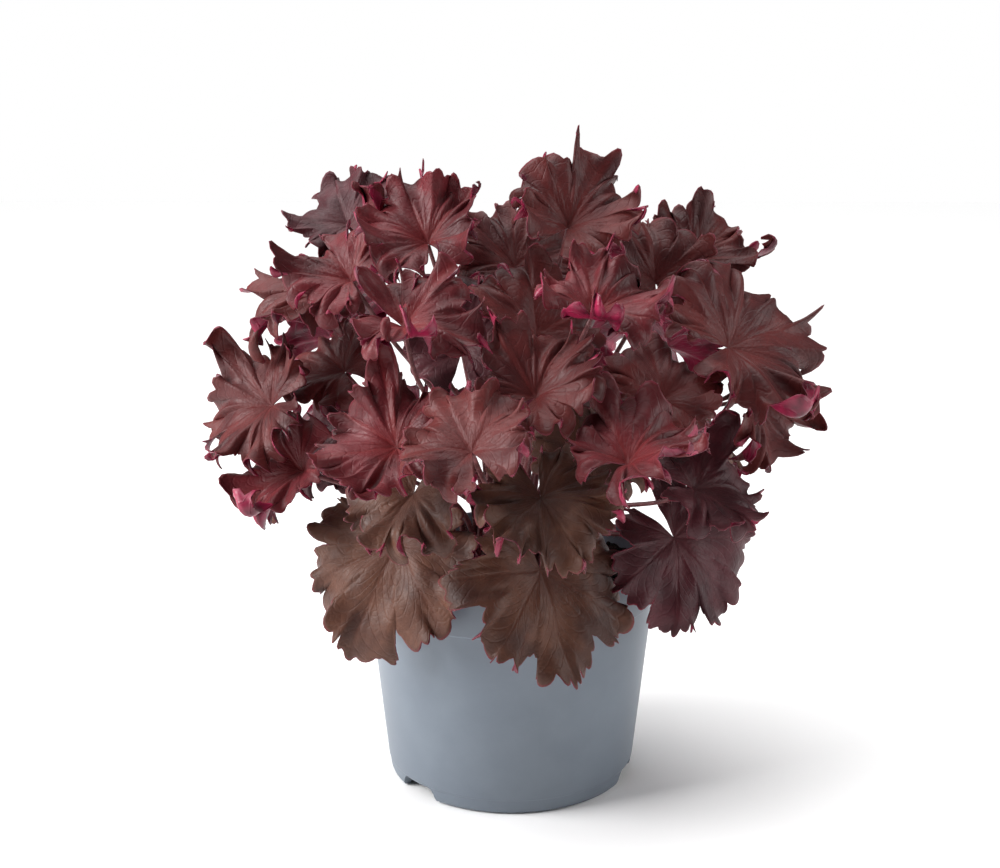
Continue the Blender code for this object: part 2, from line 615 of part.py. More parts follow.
def add_leaf(name, placed, parts, cutters):
    """One leaf: its blade thickened from the open sheet, joined to its stalk."""
    leaf, blade, path = placed[:3]
    made = mesh_object(name, blade[0], blade[1], parts)
    thick = made.modifiers.new("Thickness", "SOLIDIFY")
    thick.thickness = BLADE_THICKNESS * MM
    thick.offset = 0.0
    made = frozen(made, parts)
    line = bpy.data.curves.new(name + "_stalk", "CURVE")
    line.dimensions = "3D"
    line.bevel_depth = STALK_RADIUS * MM
    line.bevel_resolution = 0
    line.use_fill_caps = True
    spline = line.splines.new("POLY")
    spline.points.add(len(path) - 1)
    for spot, point in zip(path, spline.points):
        point.co = (*(spot * MM), 1.0)
    stalk = bpy.data.objects.new(name + "_stalk", line)
    cutters.objects.link(stalk)
    stalk = frozen(stalk, cutters)
    combine(made, stalk, "UNION", "MANIFOLD")
    made = frozen(made, parts)
    bpy.data.objects.remove(stalk)
    finish(made, material(name, TONES[leaf.tone], 0.5))


# Build
for old in list(bpy.data.objects):
    bpy.data.objects.remove(old)
part_group = bpy.data.collections.new("heuchera_plant")
cutter_group = bpy.data.collections.new("cutters")
bpy.context.scene.collection.children.link(part_group)
bpy.context.scene.collection.children.link(cutter_group)

places = place_leaves(seen_leaves() + far_leaves(), obstacle_sheet())
add_pot(part_group, cutter_group)
add_soil(part_group)
add_rootstock(part_group, cutter_group, [place[2][0][:2] for place in places])
for number, place in enumerate(places):
    add_leaf(f"leaf_{number + 1:02d}", place, part_group, cutter_group)
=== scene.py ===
# A heuchera plant in its grower's pot, dressed with fine leaves, hairs, soil crumbs and a smooth pot.
import json
import math
from collections import namedtuple

import bmesh
import bpy
import numpy as np
from mathutils import Matrix
from mathutils.kdtree import KDTree

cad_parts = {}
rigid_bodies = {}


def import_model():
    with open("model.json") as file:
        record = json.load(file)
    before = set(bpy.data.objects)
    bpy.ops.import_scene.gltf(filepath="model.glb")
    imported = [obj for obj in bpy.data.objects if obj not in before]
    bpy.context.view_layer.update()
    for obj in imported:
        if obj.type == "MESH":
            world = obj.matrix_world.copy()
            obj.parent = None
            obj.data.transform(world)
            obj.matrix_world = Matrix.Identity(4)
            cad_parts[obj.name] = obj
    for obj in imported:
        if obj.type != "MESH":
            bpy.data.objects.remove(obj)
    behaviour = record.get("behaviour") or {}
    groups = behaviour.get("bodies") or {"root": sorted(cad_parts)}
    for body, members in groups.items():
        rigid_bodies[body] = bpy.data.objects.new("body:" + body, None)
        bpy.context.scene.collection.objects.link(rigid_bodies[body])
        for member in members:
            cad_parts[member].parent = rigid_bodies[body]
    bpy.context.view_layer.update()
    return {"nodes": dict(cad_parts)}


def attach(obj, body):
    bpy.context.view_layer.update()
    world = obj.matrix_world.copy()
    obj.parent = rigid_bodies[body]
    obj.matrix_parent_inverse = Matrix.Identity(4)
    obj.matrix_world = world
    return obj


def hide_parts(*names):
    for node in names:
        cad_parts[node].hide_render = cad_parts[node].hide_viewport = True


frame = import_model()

MM = 0.001
# Sizes of the pot, the soil, the crown and the leaves of the solids, in millimetres and degrees
RIM_RADIUS = 65.0
POT_HEIGHT = 100.0
BAND_HEIGHT = 17.6
BAND_STEP = 0.9
FOOT_RADIUS = 54.3
FOOT_HEIGHT = 6.2
WALL = 1.6
PLATE_LIFT = 2.0
PLATE_RADIUS = 34.0
NOTCH_AZIMUTHS = (-48.0, 72.0, 192.0)
NOTCH_HEIGHT = 6.0
NOTCH_HALF_ANGLE_LOW = 13.0
NOTCH_HALF_ANGLE_HIGH = 8.5
GAP = 0.3
SOIL_LEVEL = 91.0
CROWN_RADIUS = 27.0
CROWN_FOOT = 82.0
CROWN_TOP = 97.0
STALK_SOCKET_FLOOR = 86.0
STALK_RADIUS = 1.4
STALK_INSET = 3.4
BLADE_THICKNESS = 0.8
# The picture's viewing point, so that a leaf can be put where the picture shows it
VIEW_POINT = np.array([0.0, -650.0, 309.9])
VIEW_FOCUS = 1526.6
VIEW_PITCH = math.radians(13.51)
VIEW_YAW = math.radians(-0.43)
PICTURE_CENTRE = (500.0, 434.0)
# The dome that the leaf hubs lie on, about how far it is from the viewing point, the height of a high
# hub, and how far below it a hub is low
DOME_CENTRE = np.array([4.0, 0.0, 165.0])
DOME_RADII_ABOVE = np.array([104.0, 92.0, 88.0])
DOME_RADII_BELOW = np.array([104.0, 92.0, 62.0])
DOME_REACH = 640.0
HIGH_HUB = 235.0
HUB_RANGE = 110.0
# Length of a blade from its hub to its tip, in lengths between the two in the picture, and its limits
BLADE_REACH = 1.14
BLADE_SIZES = (35.0, 60.0)
Shape = namedtuple("Shape", "lobes rise fall ruffle fold curls seed")
Leaf = namedtuple("Leaf", "tone size hub midrib face slide shape")
# Blade styles: number of lobes, and in degrees the slope at the hub and at the margin, the height of the
# waves and the fold along the midrib
OLD = dict(lobes=7, rise=10.0, fall=30.0, ruffle=24.0, fold=5.0)
BROAD = dict(lobes=7, rise=22.0, fall=34.0, ruffle=44.0, fold=8.0)
FRILLED = dict(lobes=5, rise=34.0, fall=28.0, ruffle=54.0, fold=10.0)
PLAIN = dict(lobes=5, rise=22.0, fall=32.0, ruffle=44.0, fold=8.0)
STYLES = {"old": OLD, "broad": BROAD, "frilled": FRILLED, "plain": PLAIN}
# Leaves that the picture shows, the outermost first: style, tone, hub and tip in the picture,
# layer of the dome, azimuth and elevation that the blade faces, and the lobes that curl over
SEEN = (
    ("old", "bronze", (398, 545), (356, 648), 1.04, -22, 30, {5: 130}),
    ("old", "bronze", (540, 570), (570, 676), 1.10, 4, 22, {}),
    ("old", "plum", (674, 538), (738, 614), 1.03, 30, 28, {}),
    ("broad", "bronze", (541, 498), (570, 566), 1.10, 2, 52, {1: 150}),
    ("broad", "crimson", (397, 448), (332, 416), 1.06, -14, 44, {2: 140, 5: 130}),
    ("broad", "brown", (728, 348), (806, 328), 0.98, 36, 44, {1: 140, 5: -80}),
    ("broad", "brown", (272, 406), (204, 422), 1.00, -38, 40, {2: 140}),
    ("frilled", "crimson", (592, 316), (650, 298), 1.02, 10, 60, {0: 140, 3: 140}),
    ("frilled", "crimson", (404, 328), (448, 336), 1.02, -6, 58, {1: 150}),
    ("frilled", "crimson", (428, 244), (404, 192), 0.98, -8, 48, {1: 150}),
    ("frilled", "brown", (568, 228), (602, 172), 0.96, 12, 42, {0: 150}),
    ("broad", "brown", (334, 296), (266, 288), 0.92, -38, 46, {1: -60}),
    ("frilled", "brown", (748, 400), (780, 462), 0.96, 46, 28, {3: 140}),
    ("frilled", "brown", (692, 262), (712, 232), 0.92, 14, 46, {1: 140}),
    ("frilled", "crimson", (304, 472), (270, 496), 0.98, -44, 32, {3: 140}),
    ("plain", "brown", (660, 402), (652, 346), 0.88, 18, 44, {}),
    ("frilled", "brown", (536, 398), (566, 372), 1.00, 2, 62, {3: 150}),
    ("plain", "bronze", (550, 462), (578, 404), 0.86, 6, 48, {}),
    ("plain", "plum", (694, 490), (744, 492), 0.94, 34, 44, {3: 140}),
    ("plain", "bronze", (414, 494), (392, 528), 0.94, -14, 44, {}),
    ("broad", "brown", (514, 268), (508, 200), 0.80, -4, 40, {}),
    ("plain", "brown", (472, 474), (450, 434), 0.98, -6, 54, {}),
    ("frilled", "crimson", (352, 282), (322, 252), 0.98, -22, 54, {1: 150}),
    ("plain", "brown", (536, 334), (520, 258), 0.74, 4, 34, {}),
    ("plain", "brown", (655, 282), (640, 230), 0.78, 14, 42, {}),
    ("frilled", "crimson", (628, 486), (652, 466), 1.00, 14, 54, {1: 140}),
    ("plain", "brown", (345, 372), (306, 340), 0.76, -28, 44, {}),
    ("plain", "plum", (350, 262), (336, 226), 0.80, -30, 40, {}),
    ("plain", "plum", (462, 350), (462, 300), 0.66, -4, 44, {}),
    ("plain", "brown", (610, 430), (600, 380), 0.74, 10, 46, {}),
    ("plain", "plum", (340, 452), (300, 440), 0.80, -34, 40, {}),
)
# Leaves of the far side, which the picture hides, in rows from the lowest to the highest:
# style, tone, count, height angle on the dome, layer, size and the arc that the row spans
FAR_ROWS = (
    ("old", "bronze", 5, -18.0, 0.92, 42.0, 160.0),
    ("plain", "brown", 4, 14.0, 0.88, 42.0, 136.0),
    ("plain", "brown", 2, 46.0, 0.80, 38.0, 90.0),
)
# Angle between lobes and their lengths by the number of lobes, and the form of the margin
LOBE_SPREAD = {7: 48.0, 5: 64.0}
LOBE_LENGTHS = {7: (0.60, 0.80, 0.94, 1.0, 0.94, 0.80, 0.60), 5: (0.68, 0.88, 1.0, 0.88, 0.68)}
BLADE_END_ANGLE = math.radians(168.0)
SINUS_DEPTH = 0.22
CRENATION = 0.09
RADIAL_STEPS = np.linspace(0.0, 1.0, 25)
UP = np.array([0.0, 0.0, 1.0])
# Places that a leaf's solid may stand in: shifts, tilts, sizes and routes of its stalk
DEPTHS = (0.0, 4.0, -4.0, 8.0, -8.0, 12.0, -12.0, 17.0, -17.0, 22.0, -22.0, 30.0, -30.0)
SIDESTEPS = ((0.0, 0.0), (0.0, 8.0), (0.0, -8.0), (8.0, 0.0), (-8.0, 0.0), (0.0, 16.0), (14.0, 0.0),
             (-14.0, 0.0))
SHIFTS = tuple((depth, across, up) for across, up in SIDESTEPS for depth in DEPTHS)
TILTS = ((0.0, 0.0), (9.0, 0.0), (-9.0, 0.0), (0.0, 9.0), (0.0, -9.0), (18.0, 0.0), (-18.0, 0.0),
         (0.0, 20.0), (0.0, -20.0))
SIZES = (1.0, 0.86)
ROUTES = tuple((slot, bow, turn) for slot in range(5) for bow in (0.35, 0.2, 0.5)
               for turn in (0.5, 1.1, 0.1))
# Corners of the margin that are looked for on a leaf's solid
PROBES = (-4, -12, -20)
# Fine blades: thickness, steps along each lobe, rows from hub to margin, teeth of a lobe and their depth,
# slope of the short waves near the margin and of the blisters, width of a lobe and its side veins
FINE_THICKNESS = 0.45
LOBE_STEPS = 48
RADIAL_ROWS = 16
TEETH_PER_LOBE = 8
FINE_TEETH = 0.12
FINE_WAVES = 1.5
FINE_BLISTER = 0.42
LOBE_WIDTH = 0.8
SIDE_VEINS = 6.0
SIDE_VEIN_LEAN = 7.5
# Stalks: rings, sides, radius at the foot and how much is lost on the way up, and how far the end is sunk
STALK_RINGS = 34
STALK_SIDES = 8
STALK_FOOT_RADIUS = 1.35
STALK_TAPER = 0.45
STALK_END_SINK = 0.9
# Hairs: how many a stalk has, and lengths and radii on stalks and margins
STALK_HAIRS = 150
STALK_HAIR_LENGTHS = (1.0, 2.2)
STALK_HAIR_RADIUS = 0.055
MARGIN_HAIR_LENGTHS = (0.4, 1.1)
MARGIN_HAIR_RADIUS = 0.04
# Numbers of a leaf's materials
UPPER_FACE, UNDER_FACE, RIM, STEM, HAIRS = range(5)
# Steps round the pot, the soil and the crown, and the angle past which an edge of the pot is crisp
POT_STEPS = 192
SOIL_STEPS = 180
CROWN_STEPS = 120
CRISP_EDGE = math.radians(38)
# Crumbs: how many, the ring that they lie in, their sizes, and rows and columns of the ball
CRUMBS = 300
CRUMB_RING = (30.0, 60.0)
CRUMB_SIZES = (0.6, 1.7)
BALL_ROWS = 5
BALL_COLUMNS = 8
# Studio, in metres: half the floor's side and the place that the soft boxes face
FLOOR_HALF = 3.0
PLANT_CENTRE = np.array([0.0, 0.0, 0.15])


def unit(v):
    """The vector of length 1 along v."""
    return v / np.linalg.norm(v)


def smooth(x):
    """3x^2 - 2x^3, held at 0 below x = 0 and at 1 above x = 1."""
    x = np.clip(x, 0.0, 1.0)
    return x * x * (3.0 - 2.0 * x)


def direction(azimuth, elevation):
    """Unit vector: azimuth in degrees from the front (-Y) towards +X, elevation up from the floor."""
    a, h = math.radians(azimuth), math.radians(elevation)
    return np.array([math.sin(a) * math.cos(h), -math.cos(a) * math.cos(h), math.sin(h)])


def sight_line(spot):
    """Unit vector from the viewing point through a place in the picture."""
    ahead = np.array([math.sin(VIEW_YAW) * math.cos(VIEW_PITCH), math.cos(VIEW_YAW) * math.cos(VIEW_PITCH),
                      -math.sin(VIEW_PITCH)])
    right = np.array([math.cos(VIEW_YAW), -math.sin(VIEW_YAW), 0.0])
    up = np.cross(right, ahead)
    across = (spot[0] - PICTURE_CENTRE[0]) / VIEW_FOCUS
    down = (spot[1] - PICTURE_CENTRE[1]) / VIEW_FOCUS
    return unit(ahead + across * right - down * up)


def on_dome(line, layer):
    """First point of the sight line on the dome scaled by layer, or the point nearest to it."""
    start = VIEW_POINT - DOME_CENTRE
    level = start[2] + line[2] * DOME_REACH
    radii = layer * (DOME_RADII_ABOVE if level > 0.0 else DOME_RADII_BELOW)
    p, d = start / radii, line / radii
    middle = -np.dot(p, d) / np.dot(d, d)
    miss = np.dot(p, p) - np.dot(d, d) * middle ** 2
    reach = math.sqrt(max(0.0, 1.0 - miss) / np.dot(d, d))
    return VIEW_POINT + (middle - reach) * line


def seen_leaves():
    """Leaves of the picture: the tip's sight line is cut by the plane that the blade lies in."""
    leaves = []
    for number, (style, tone, hub_spot, tip_spot, layer, azimuth, elevation, curls) in enumerate(SEEN):
        hub_line, tip_line = sight_line(hub_spot), sight_line(tip_spot)
        hub, face = on_dome(hub_line, layer), direction(azimuth, elevation)
        tip = VIEW_POINT + tip_line * np.dot(hub - VIEW_POINT, face) / np.dot(tip_line, face)
        size = float(np.clip(BLADE_REACH * np.linalg.norm(tip - hub), *BLADE_SIZES))
        shape = Shape(curls=curls, seed=100 + number, **STYLES[style])
        leaves.append(Leaf(tone, size, hub, unit(tip - hub), face, hub_line, shape))
    return leaves


def far_leaves():
    """Leaves of the far side: each row is spread evenly over its arc."""
    leaves = []
    for row, (style, tone, count, height, layer, size, arc) in enumerate(FAR_ROWS):
        for place in range(count):
            azimuth = 180.0 + (place - (count - 1) / 2.0) * arc / count
            radii = DOME_RADII_ABOVE if height > 0.0 else DOME_RADII_BELOW
            outward = direction(azimuth, height)
            face = direction(azimuth, 30.0 + 0.4 * max(height, 0.0))
            hub = DOME_CENTRE + outward * radii * layer
            midrib = unit(np.array([0.0, 0.0, -1.0 if row == 0 else 1.0]) + 0.5 * outward)
            midrib = unit(midrib - np.dot(midrib, face) * face)
            shape = Shape(curls={}, seed=500 + 20 * row + place, **STYLES[style])
            leaves.append(Leaf(tone, size, hub, midrib, face, -outward, shape))
    return leaves


def blade_surface(shape, size, u, e, frills=0.0):
    """Points of a blade, one row for each u (counted in lobes along the margin), one column for each e.

    The margin is R(u) = size * lobe length * (1 - sinus) * (1 + teeth). Along each radius the slope
    b(u, e) goes from rise to -fall with broad and fine waves added that grow towards the margin, and
    the point is the sum of (cos b, sin b) R de from the hub out. The fine blade has frills of 1, which
    cuts the teeth |cos|^0.7 out of the margin, adds short waves near it and blisters further in, and
    draws the fine waves out towards the margin. Last, a radius that the waves shorten is stretched,
    the rows sway along the margin, the valleys between lobes rise and the midrib is folded.
    """
    n = shape.lobes
    draw = np.random.default_rng(shape.seed)
    spread = np.radians(LOBE_SPREAD[n]) * (np.arange(n) - n // 2)
    knots = np.concatenate([[-0.5], np.arange(n), [n - 0.5]])
    spread = spread + np.radians(draw.uniform(-5, 5, n))
    angles = np.concatenate([[-BLADE_END_ANGLE], spread, [BLADE_END_ANGLE]])
    lengths = np.array(LOBE_LENGTHS[n]) * draw.uniform(0.92, 1.06, n)
    lifts = np.radians(draw.normal(0.0, 15.0, n))
    waves, beat = draw.uniform(0.45, 0.7), draw.uniform(1.2, 1.5)
    phase, fine_phase = draw.uniform(0, 2 * np.pi, 2)

    lobe = np.clip(np.round(u), 0, n - 1)
    w = u - lobe
    scallop = np.abs(np.cos(3 * np.pi * w))
    teeth = CRENATION * ((1 - frills) * (scallop - 0.5) + 0.5 * frills)
    uneven = np.pi * TEETH_PER_LOBE * (u + 0.03 * np.sin(2 * np.pi * 2.3 * u + phase))
    depth = FINE_TEETH * (0.3 + shape.ruffle / 57)
    bite = frills * (depth * (np.abs(np.cos(uneven)) ** 0.7 - 1) + CRENATION * (scallop - 1))
    sinus = SINUS_DEPTH * np.abs(2 * w) ** 4
    radius = size * np.interp(u, np.arange(n), lengths) * (1 - sinus) * (1 + teeth)

    s = RADIAL_STEPS[None, :]
    t = s * radius[:, None] / size
    ruffle = np.radians(shape.ruffle)
    psi = (2 * np.pi * waves * u + phase)[:, None]
    fine = (2 * np.pi * beat * u + 1.3 * np.sin(2 * np.pi * 0.37 * u + phase) + fine_phase)[:, None]
    slope = np.radians(shape.rise) * (1 - t) - np.radians(shape.fall) * t
    slope = slope + np.interp(u, np.arange(n), lifts)[:, None] * s ** 2
    slope = slope + 0.5 * ruffle * s ** 1.3 * np.sin(psi)
    slope = slope + (1.1 + 0.2 * frills) * ruffle * s ** (2.4 + 1.2 * frills) * np.sin(fine - 2.4 * s)
    for curled, angle in shape.curls.items():
        window = np.where(lobe == curled, np.cos(np.pi * w) ** 2, 0.0)[:, None]
        slope = slope + np.radians(angle) * window * smooth((s - 0.56) / 0.4)
    blister = np.sin(2 * np.pi * (1.7 * s + 0.6 * u[:, None]) + phase) * s * (1 - s ** 3)
    slope = slope + frills * (FINE_BLISTER * blister + FINE_WAVES * ruffle ** 2 * s ** 5
                              * np.sin(2 * np.pi * 3.3 * u + fine_phase)[:, None])

    step = radius[:, None] * np.diff(RADIAL_STEPS)[None, :]
    middle = 0.5 * (slope[:, 1:] + slope[:, :-1])
    out = np.pad(np.cumsum(np.cos(middle) * step, axis=1), ((0, 0), (1, 0)))
    rise = np.pad(np.cumsum(np.sin(middle) * step, axis=1), ((0, 0), (1, 0)))
    fuller = np.clip(0.9 * radius / np.maximum(out[:, -1], 0.1), 0.9, 2.0)[:, None] ** 0.7
    out, rise = out * fuller, rise * fuller
    cut = e[None, :] + bite[:, None] * e[None, :] ** 6
    out = np.array([np.interp(at, RADIAL_STEPS, row) for at, row in zip(cut, out)])
    rise = np.array([np.interp(at, RADIAL_STEPS, row) for at, row in zip(cut, rise)])

    sway = min(1.0, shape.ruffle / 50.0) * e[None, :] ** 2 * np.sin(2 * fine) * 0.16 / beat
    angle = np.interp(u[:, None] + sway, knots, angles)
    valley = e * (1 - 0.5 * e) * np.abs(2 * w)[:, None] ** 1.5
    rise = rise + (0.09 - 0.06 * frills) * valley * radius[:, None]
    x, y = out * np.cos(angle), out * np.sin(angle)
    fold = np.radians(shape.fold)
    return np.stack([x, y * np.cos(fold), rise + np.abs(y) * np.sin(fold)], axis=-1)


def zip_rows(first, second):
    """Triangles between two rows of (u, index), always stepping on the row whose next point comes first."""
    triangles, i, j = [], 0, 0
    while i < len(first) - 1 or j < len(second) - 1:
        step_first = j == len(second) - 1 or (i < len(first) - 1 and first[i + 1][0] < second[j + 1][0])
        if step_first:
            triangles.append((first[i][1], second[j][1], first[i + 1][1]))
            i += 1
        else:
            triangles.append((first[i][1], second[j][1], second[j + 1][1]))
            j += 1
    return triangles


def blade_cage(shape, size):
    """Local points and triangles of the open blade: the hub, two inner rows and the margin."""
    n = shape.lobes
    points, rows = [np.zeros(3)], [[(-0.5, 0)]]
    for e, per_lobe in ((0.42, 2), (0.76, 3), (1.0, 6)):
        u = np.linspace(-0.5, n - 0.5, per_lobe * n + 1)
        row = blade_surface(shape, size, u, np.array([e]))[:, 0]
        rows.append([(value, len(points) + i) for i, value in enumerate(u)])
        points.extend(row)
    triangles = [(0, a[1], b[1]) for a, b in zip(rows[1], rows[1][1:])]
    for inner, outer in zip(rows[1:], rows[2:]):
        triangles += zip_rows(inner, outer)
    return np.array(points), np.array(triangles)


def leaf_axes(midrib, face):
    """Matrix whose columns are the midrib, the blade's left and its upper face."""
    return np.stack([midrib, np.cross(face, midrib), face], axis=1)


def petiole_path(base, hub, axes, bow, turn):
    """Points of a stalk: straight up out of its socket, then a cubic to the hub from under the blade."""
    top = np.array([base[0], base[1], CROWN_TOP + 1.0])
    reach = np.linalg.norm(hub - top)
    arrive = unit(-0.9 * axes[:, 2] + turn * unit(top - hub) - 0.3 * axes[:, 0])
    a, b = top + np.array([0, 0, bow * reach]), hub + arrive * 0.35 * reach
    t = np.linspace(0.0, 1.0, 6)[:, None]
    curve = (1 - t) ** 3 * top + 3 * t * (1 - t) ** 2 * a + 3 * t ** 2 * (1 - t) * b + t ** 3 * hub
    foot = np.array([base[0], base[1], STALK_SOCKET_FLOOR + GAP])
    return np.vstack([foot, curve])


def socket_places(count):
    """Where the stalks stand on the rootstock: a sunflower spiral, so that they are evenly apart."""
    i = np.arange(count) + 0.5
    radius = (CROWN_RADIUS - STALK_INSET) * np.sqrt(i / count)
    angle = i * math.radians(137.508)
    return np.stack([radius * np.cos(angle), radius * np.sin(angle)], axis=1)


def wished_foot(hub):
    """Where a stalk would best stand: under its leaf, and nearer the crown's edge the lower the leaf is."""
    share = np.clip((HIGH_HUB - hub[2]) / HUB_RANGE, 0.1, 1.0)
    return unit(hub[:2] - DOME_CENTRE[:2] + 1e-6) * (CROWN_RADIUS - STALK_INSET) * share


def tilted(leaf, tilt):
    """The leaf's midrib and face, turned about the blade's left and about its midrib."""
    left = np.cross(leaf.face, leaf.midrib)
    a, b = math.radians(tilt[0]), math.radians(tilt[1])
    midrib = leaf.midrib * math.cos(a) + leaf.face * math.sin(a)
    face = leaf.face * math.cos(a) - leaf.midrib * math.sin(a)
    return midrib, unit(face * math.cos(b) + left * math.sin(b))


def pot_profile():
    """Outer side of the pot from the rim down, under the base and up the inside, as (radius, height)."""
    band_foot = POT_HEIGHT - BAND_HEIGHT
    wall_top = RIM_RADIUS - 0.5 - BAND_STEP
    inside_top = RIM_RADIUS - 2.0
    inside_foot = FOOT_RADIUS - WALL - 0.4
    plate = PLATE_LIFT + WALL
    return (
        (inside_top + 0.3, POT_HEIGHT), (RIM_RADIUS - 0.4, POT_HEIGHT), (RIM_RADIUS, POT_HEIGHT - 0.5),
        (RIM_RADIUS - 0.5, band_foot + 0.3), (RIM_RADIUS - 0.8, band_foot), (wall_top, band_foot - 0.3),
        (FOOT_RADIUS + 1.3, FOOT_HEIGHT + 0.5), (FOOT_RADIUS + 0.9, FOOT_HEIGHT), (FOOT_RADIUS + 0.5, 2.2),
        (FOOT_RADIUS, 0.7), (FOOT_RADIUS - 0.8, 0.0), (FOOT_RADIUS - 3.0, 0.0),
        (FOOT_RADIUS - 4.0, PLATE_LIFT),
        (PLATE_RADIUS + 2.0, PLATE_LIFT), (PLATE_RADIUS, 0.0),
    ), (
        (PLATE_RADIUS - 1.0, WALL), (PLATE_RADIUS + 1.0, plate), (inside_foot, plate),
        (inside_foot + 0.9, plate + 3.0), (inside_top, POT_HEIGHT - 0.4),
    )


def soil_radius(height):
    """Radius of the soil where it meets the pot's inner wall, less the gap."""
    _, inside = pot_profile()
    (r0, z0), (r1, z1) = inside[-2], inside[-1]
    return r0 + (r1 - r0) * (height - z0) / (z1 - z0) - GAP - 0.15


def normals_of(points, triangles):
    """Unit normals at the points: the sum of the triangles' cross products round each."""
    corners = points[triangles]
    flat = np.cross(corners[:, 1] - corners[:, 0], corners[:, 2] - corners[:, 0])
    total = np.zeros_like(points)
    for corner in range(3):
        np.add.at(total, triangles[:, corner], flat)
    return total / np.maximum(np.linalg.norm(total, axis=1)[:, None], 1e-9)


def corner_search(solid):
    """Search for the nearest of a solid's corners, in millimetres."""
    corners = np.array([v.co[:] for v in solid.data.vertices]) / MM
    search = KDTree(len(corners))
    for index, corner in enumerate(corners):
        search.insert(corner, index)
    search.balance()
    return search


def found_blade(leaf, search):
    """Scale, axes and hub, among those that a leaf tries, whose blade best meets its solid's corners."""
    best = (1e9,)
    for scale in SIZES:
        points, triangles = blade_cage(leaf.shape, leaf.size * scale)
        for tilt in TILTS:
            axes = leaf_axes(*tilted(leaf, tilt))
            turned = points @ axes.T
            upper = turned + 0.5 * BLADE_THICKNESS * normals_of(turned, triangles)
            for depth, across, up in SHIFTS:
                hub = leaf.hub + depth * leaf.slide
                hub = hub + across * unit(np.cross(leaf.slide, UP)) + up * UP
                miss = 0.0
                for probe in upper[list(PROBES)] + hub:
                    miss += search.find(probe)[2]
                    if miss > best[0]:
                        break
                if miss < best[0]:
                    best = (miss, scale, axes, hub)
    return best[1:]


def found_path(leaf, search, axes, hub, free):
    """Path of the stalk, among those that it tries, that best fits its solid's corners."""
    wish = wished_foot(leaf.hub)
    near = sorted(range(len(free)), key=lambda k: np.linalg.norm(free[k] - wish))
    best = (1e9,)
    for slot, bow, turn in ROUTES:
        if slot >= len(near):
            continue
        path = petiole_path(free[near[slot]], hub, axes, bow, turn)
        off = sum(abs(search.find(spot)[2] - STALK_RADIUS) for spot in path[1:-1])
        if off < best[0]:
            best = (off, near[slot], path)
    free.pop(best[1])
    return best[2]


def grid_faces(rows, columns):
    """Quads of a grid of points stored row by row."""
    i, j = np.meshgrid(np.arange(rows - 1), np.arange(columns - 1), indexing="ij")
    a = i * columns + j
    return np.stack([a, a + 1, a + columns + 1, a + columns], axis=-1).reshape(-1, 4)


def placed(name, mesh, *materials):
    """Object at the origin with a smooth mesh and its materials."""
    mesh.shade_smooth()
    for material in materials:
        mesh.materials.append(material)
    piece = bpy.data.objects.new(name, mesh)
    bpy.context.scene.collection.objects.link(piece)
    return piece


class Sheets:
    """Points and faces of one piece; each point carries four numbers for its two UV maps."""

    def __init__(self):
        self.points, self.faces, self.slots, self.uvs, self.count = [], [], [], [], 0

    def add(self, points, uv, *groups):
        """Adds points and groups of (faces between them, material number)."""
        for faces, slot in groups:
            self.faces.append(faces + self.count)
            self.slots.append(np.full(len(faces), slot))
            self.uvs.append(uv[faces].reshape(-1, 4))
        self.points.append(points)
        self.count += len(points)

    def build(self, name, materials):
        """Object at the origin with its mesh in metres."""
        points = np.vstack(self.points) * MM
        sizes = np.concatenate([np.full(len(f), f.shape[1]) for f in self.faces])
        corners = np.concatenate([f.reshape(-1) for f in self.faces])
        mesh = bpy.data.meshes.new(name)
        mesh.vertices.add(len(points))
        mesh.vertices.foreach_set("co", points.astype(np.float32).ravel())
        mesh.loops.add(len(corners))
        mesh.loops.foreach_set("vertex_index", corners.astype(np.int32))
        mesh.polygons.add(len(sizes))
        starts = np.concatenate([[0], np.cumsum(sizes)[:-1]])
        mesh.polygons.foreach_set("loop_start", starts.astype(np.int32))
        mesh.polygons.foreach_set("loop_total", sizes.astype(np.int32))
        mesh.polygons.foreach_set("material_index", np.concatenate(self.slots).astype(np.int32))
        uv = np.vstack(self.uvs).astype(np.float32)
        for map_name, columns in (("surface", uv[:, :2]), ("veins", uv[:, 2:])):
            layer = mesh.uv_layers.new(name=map_name)
            layer.data.foreach_set("uv", columns.ravel())
        mesh.update()
        mesh.validate()
        return placed(name, mesh, *materials)


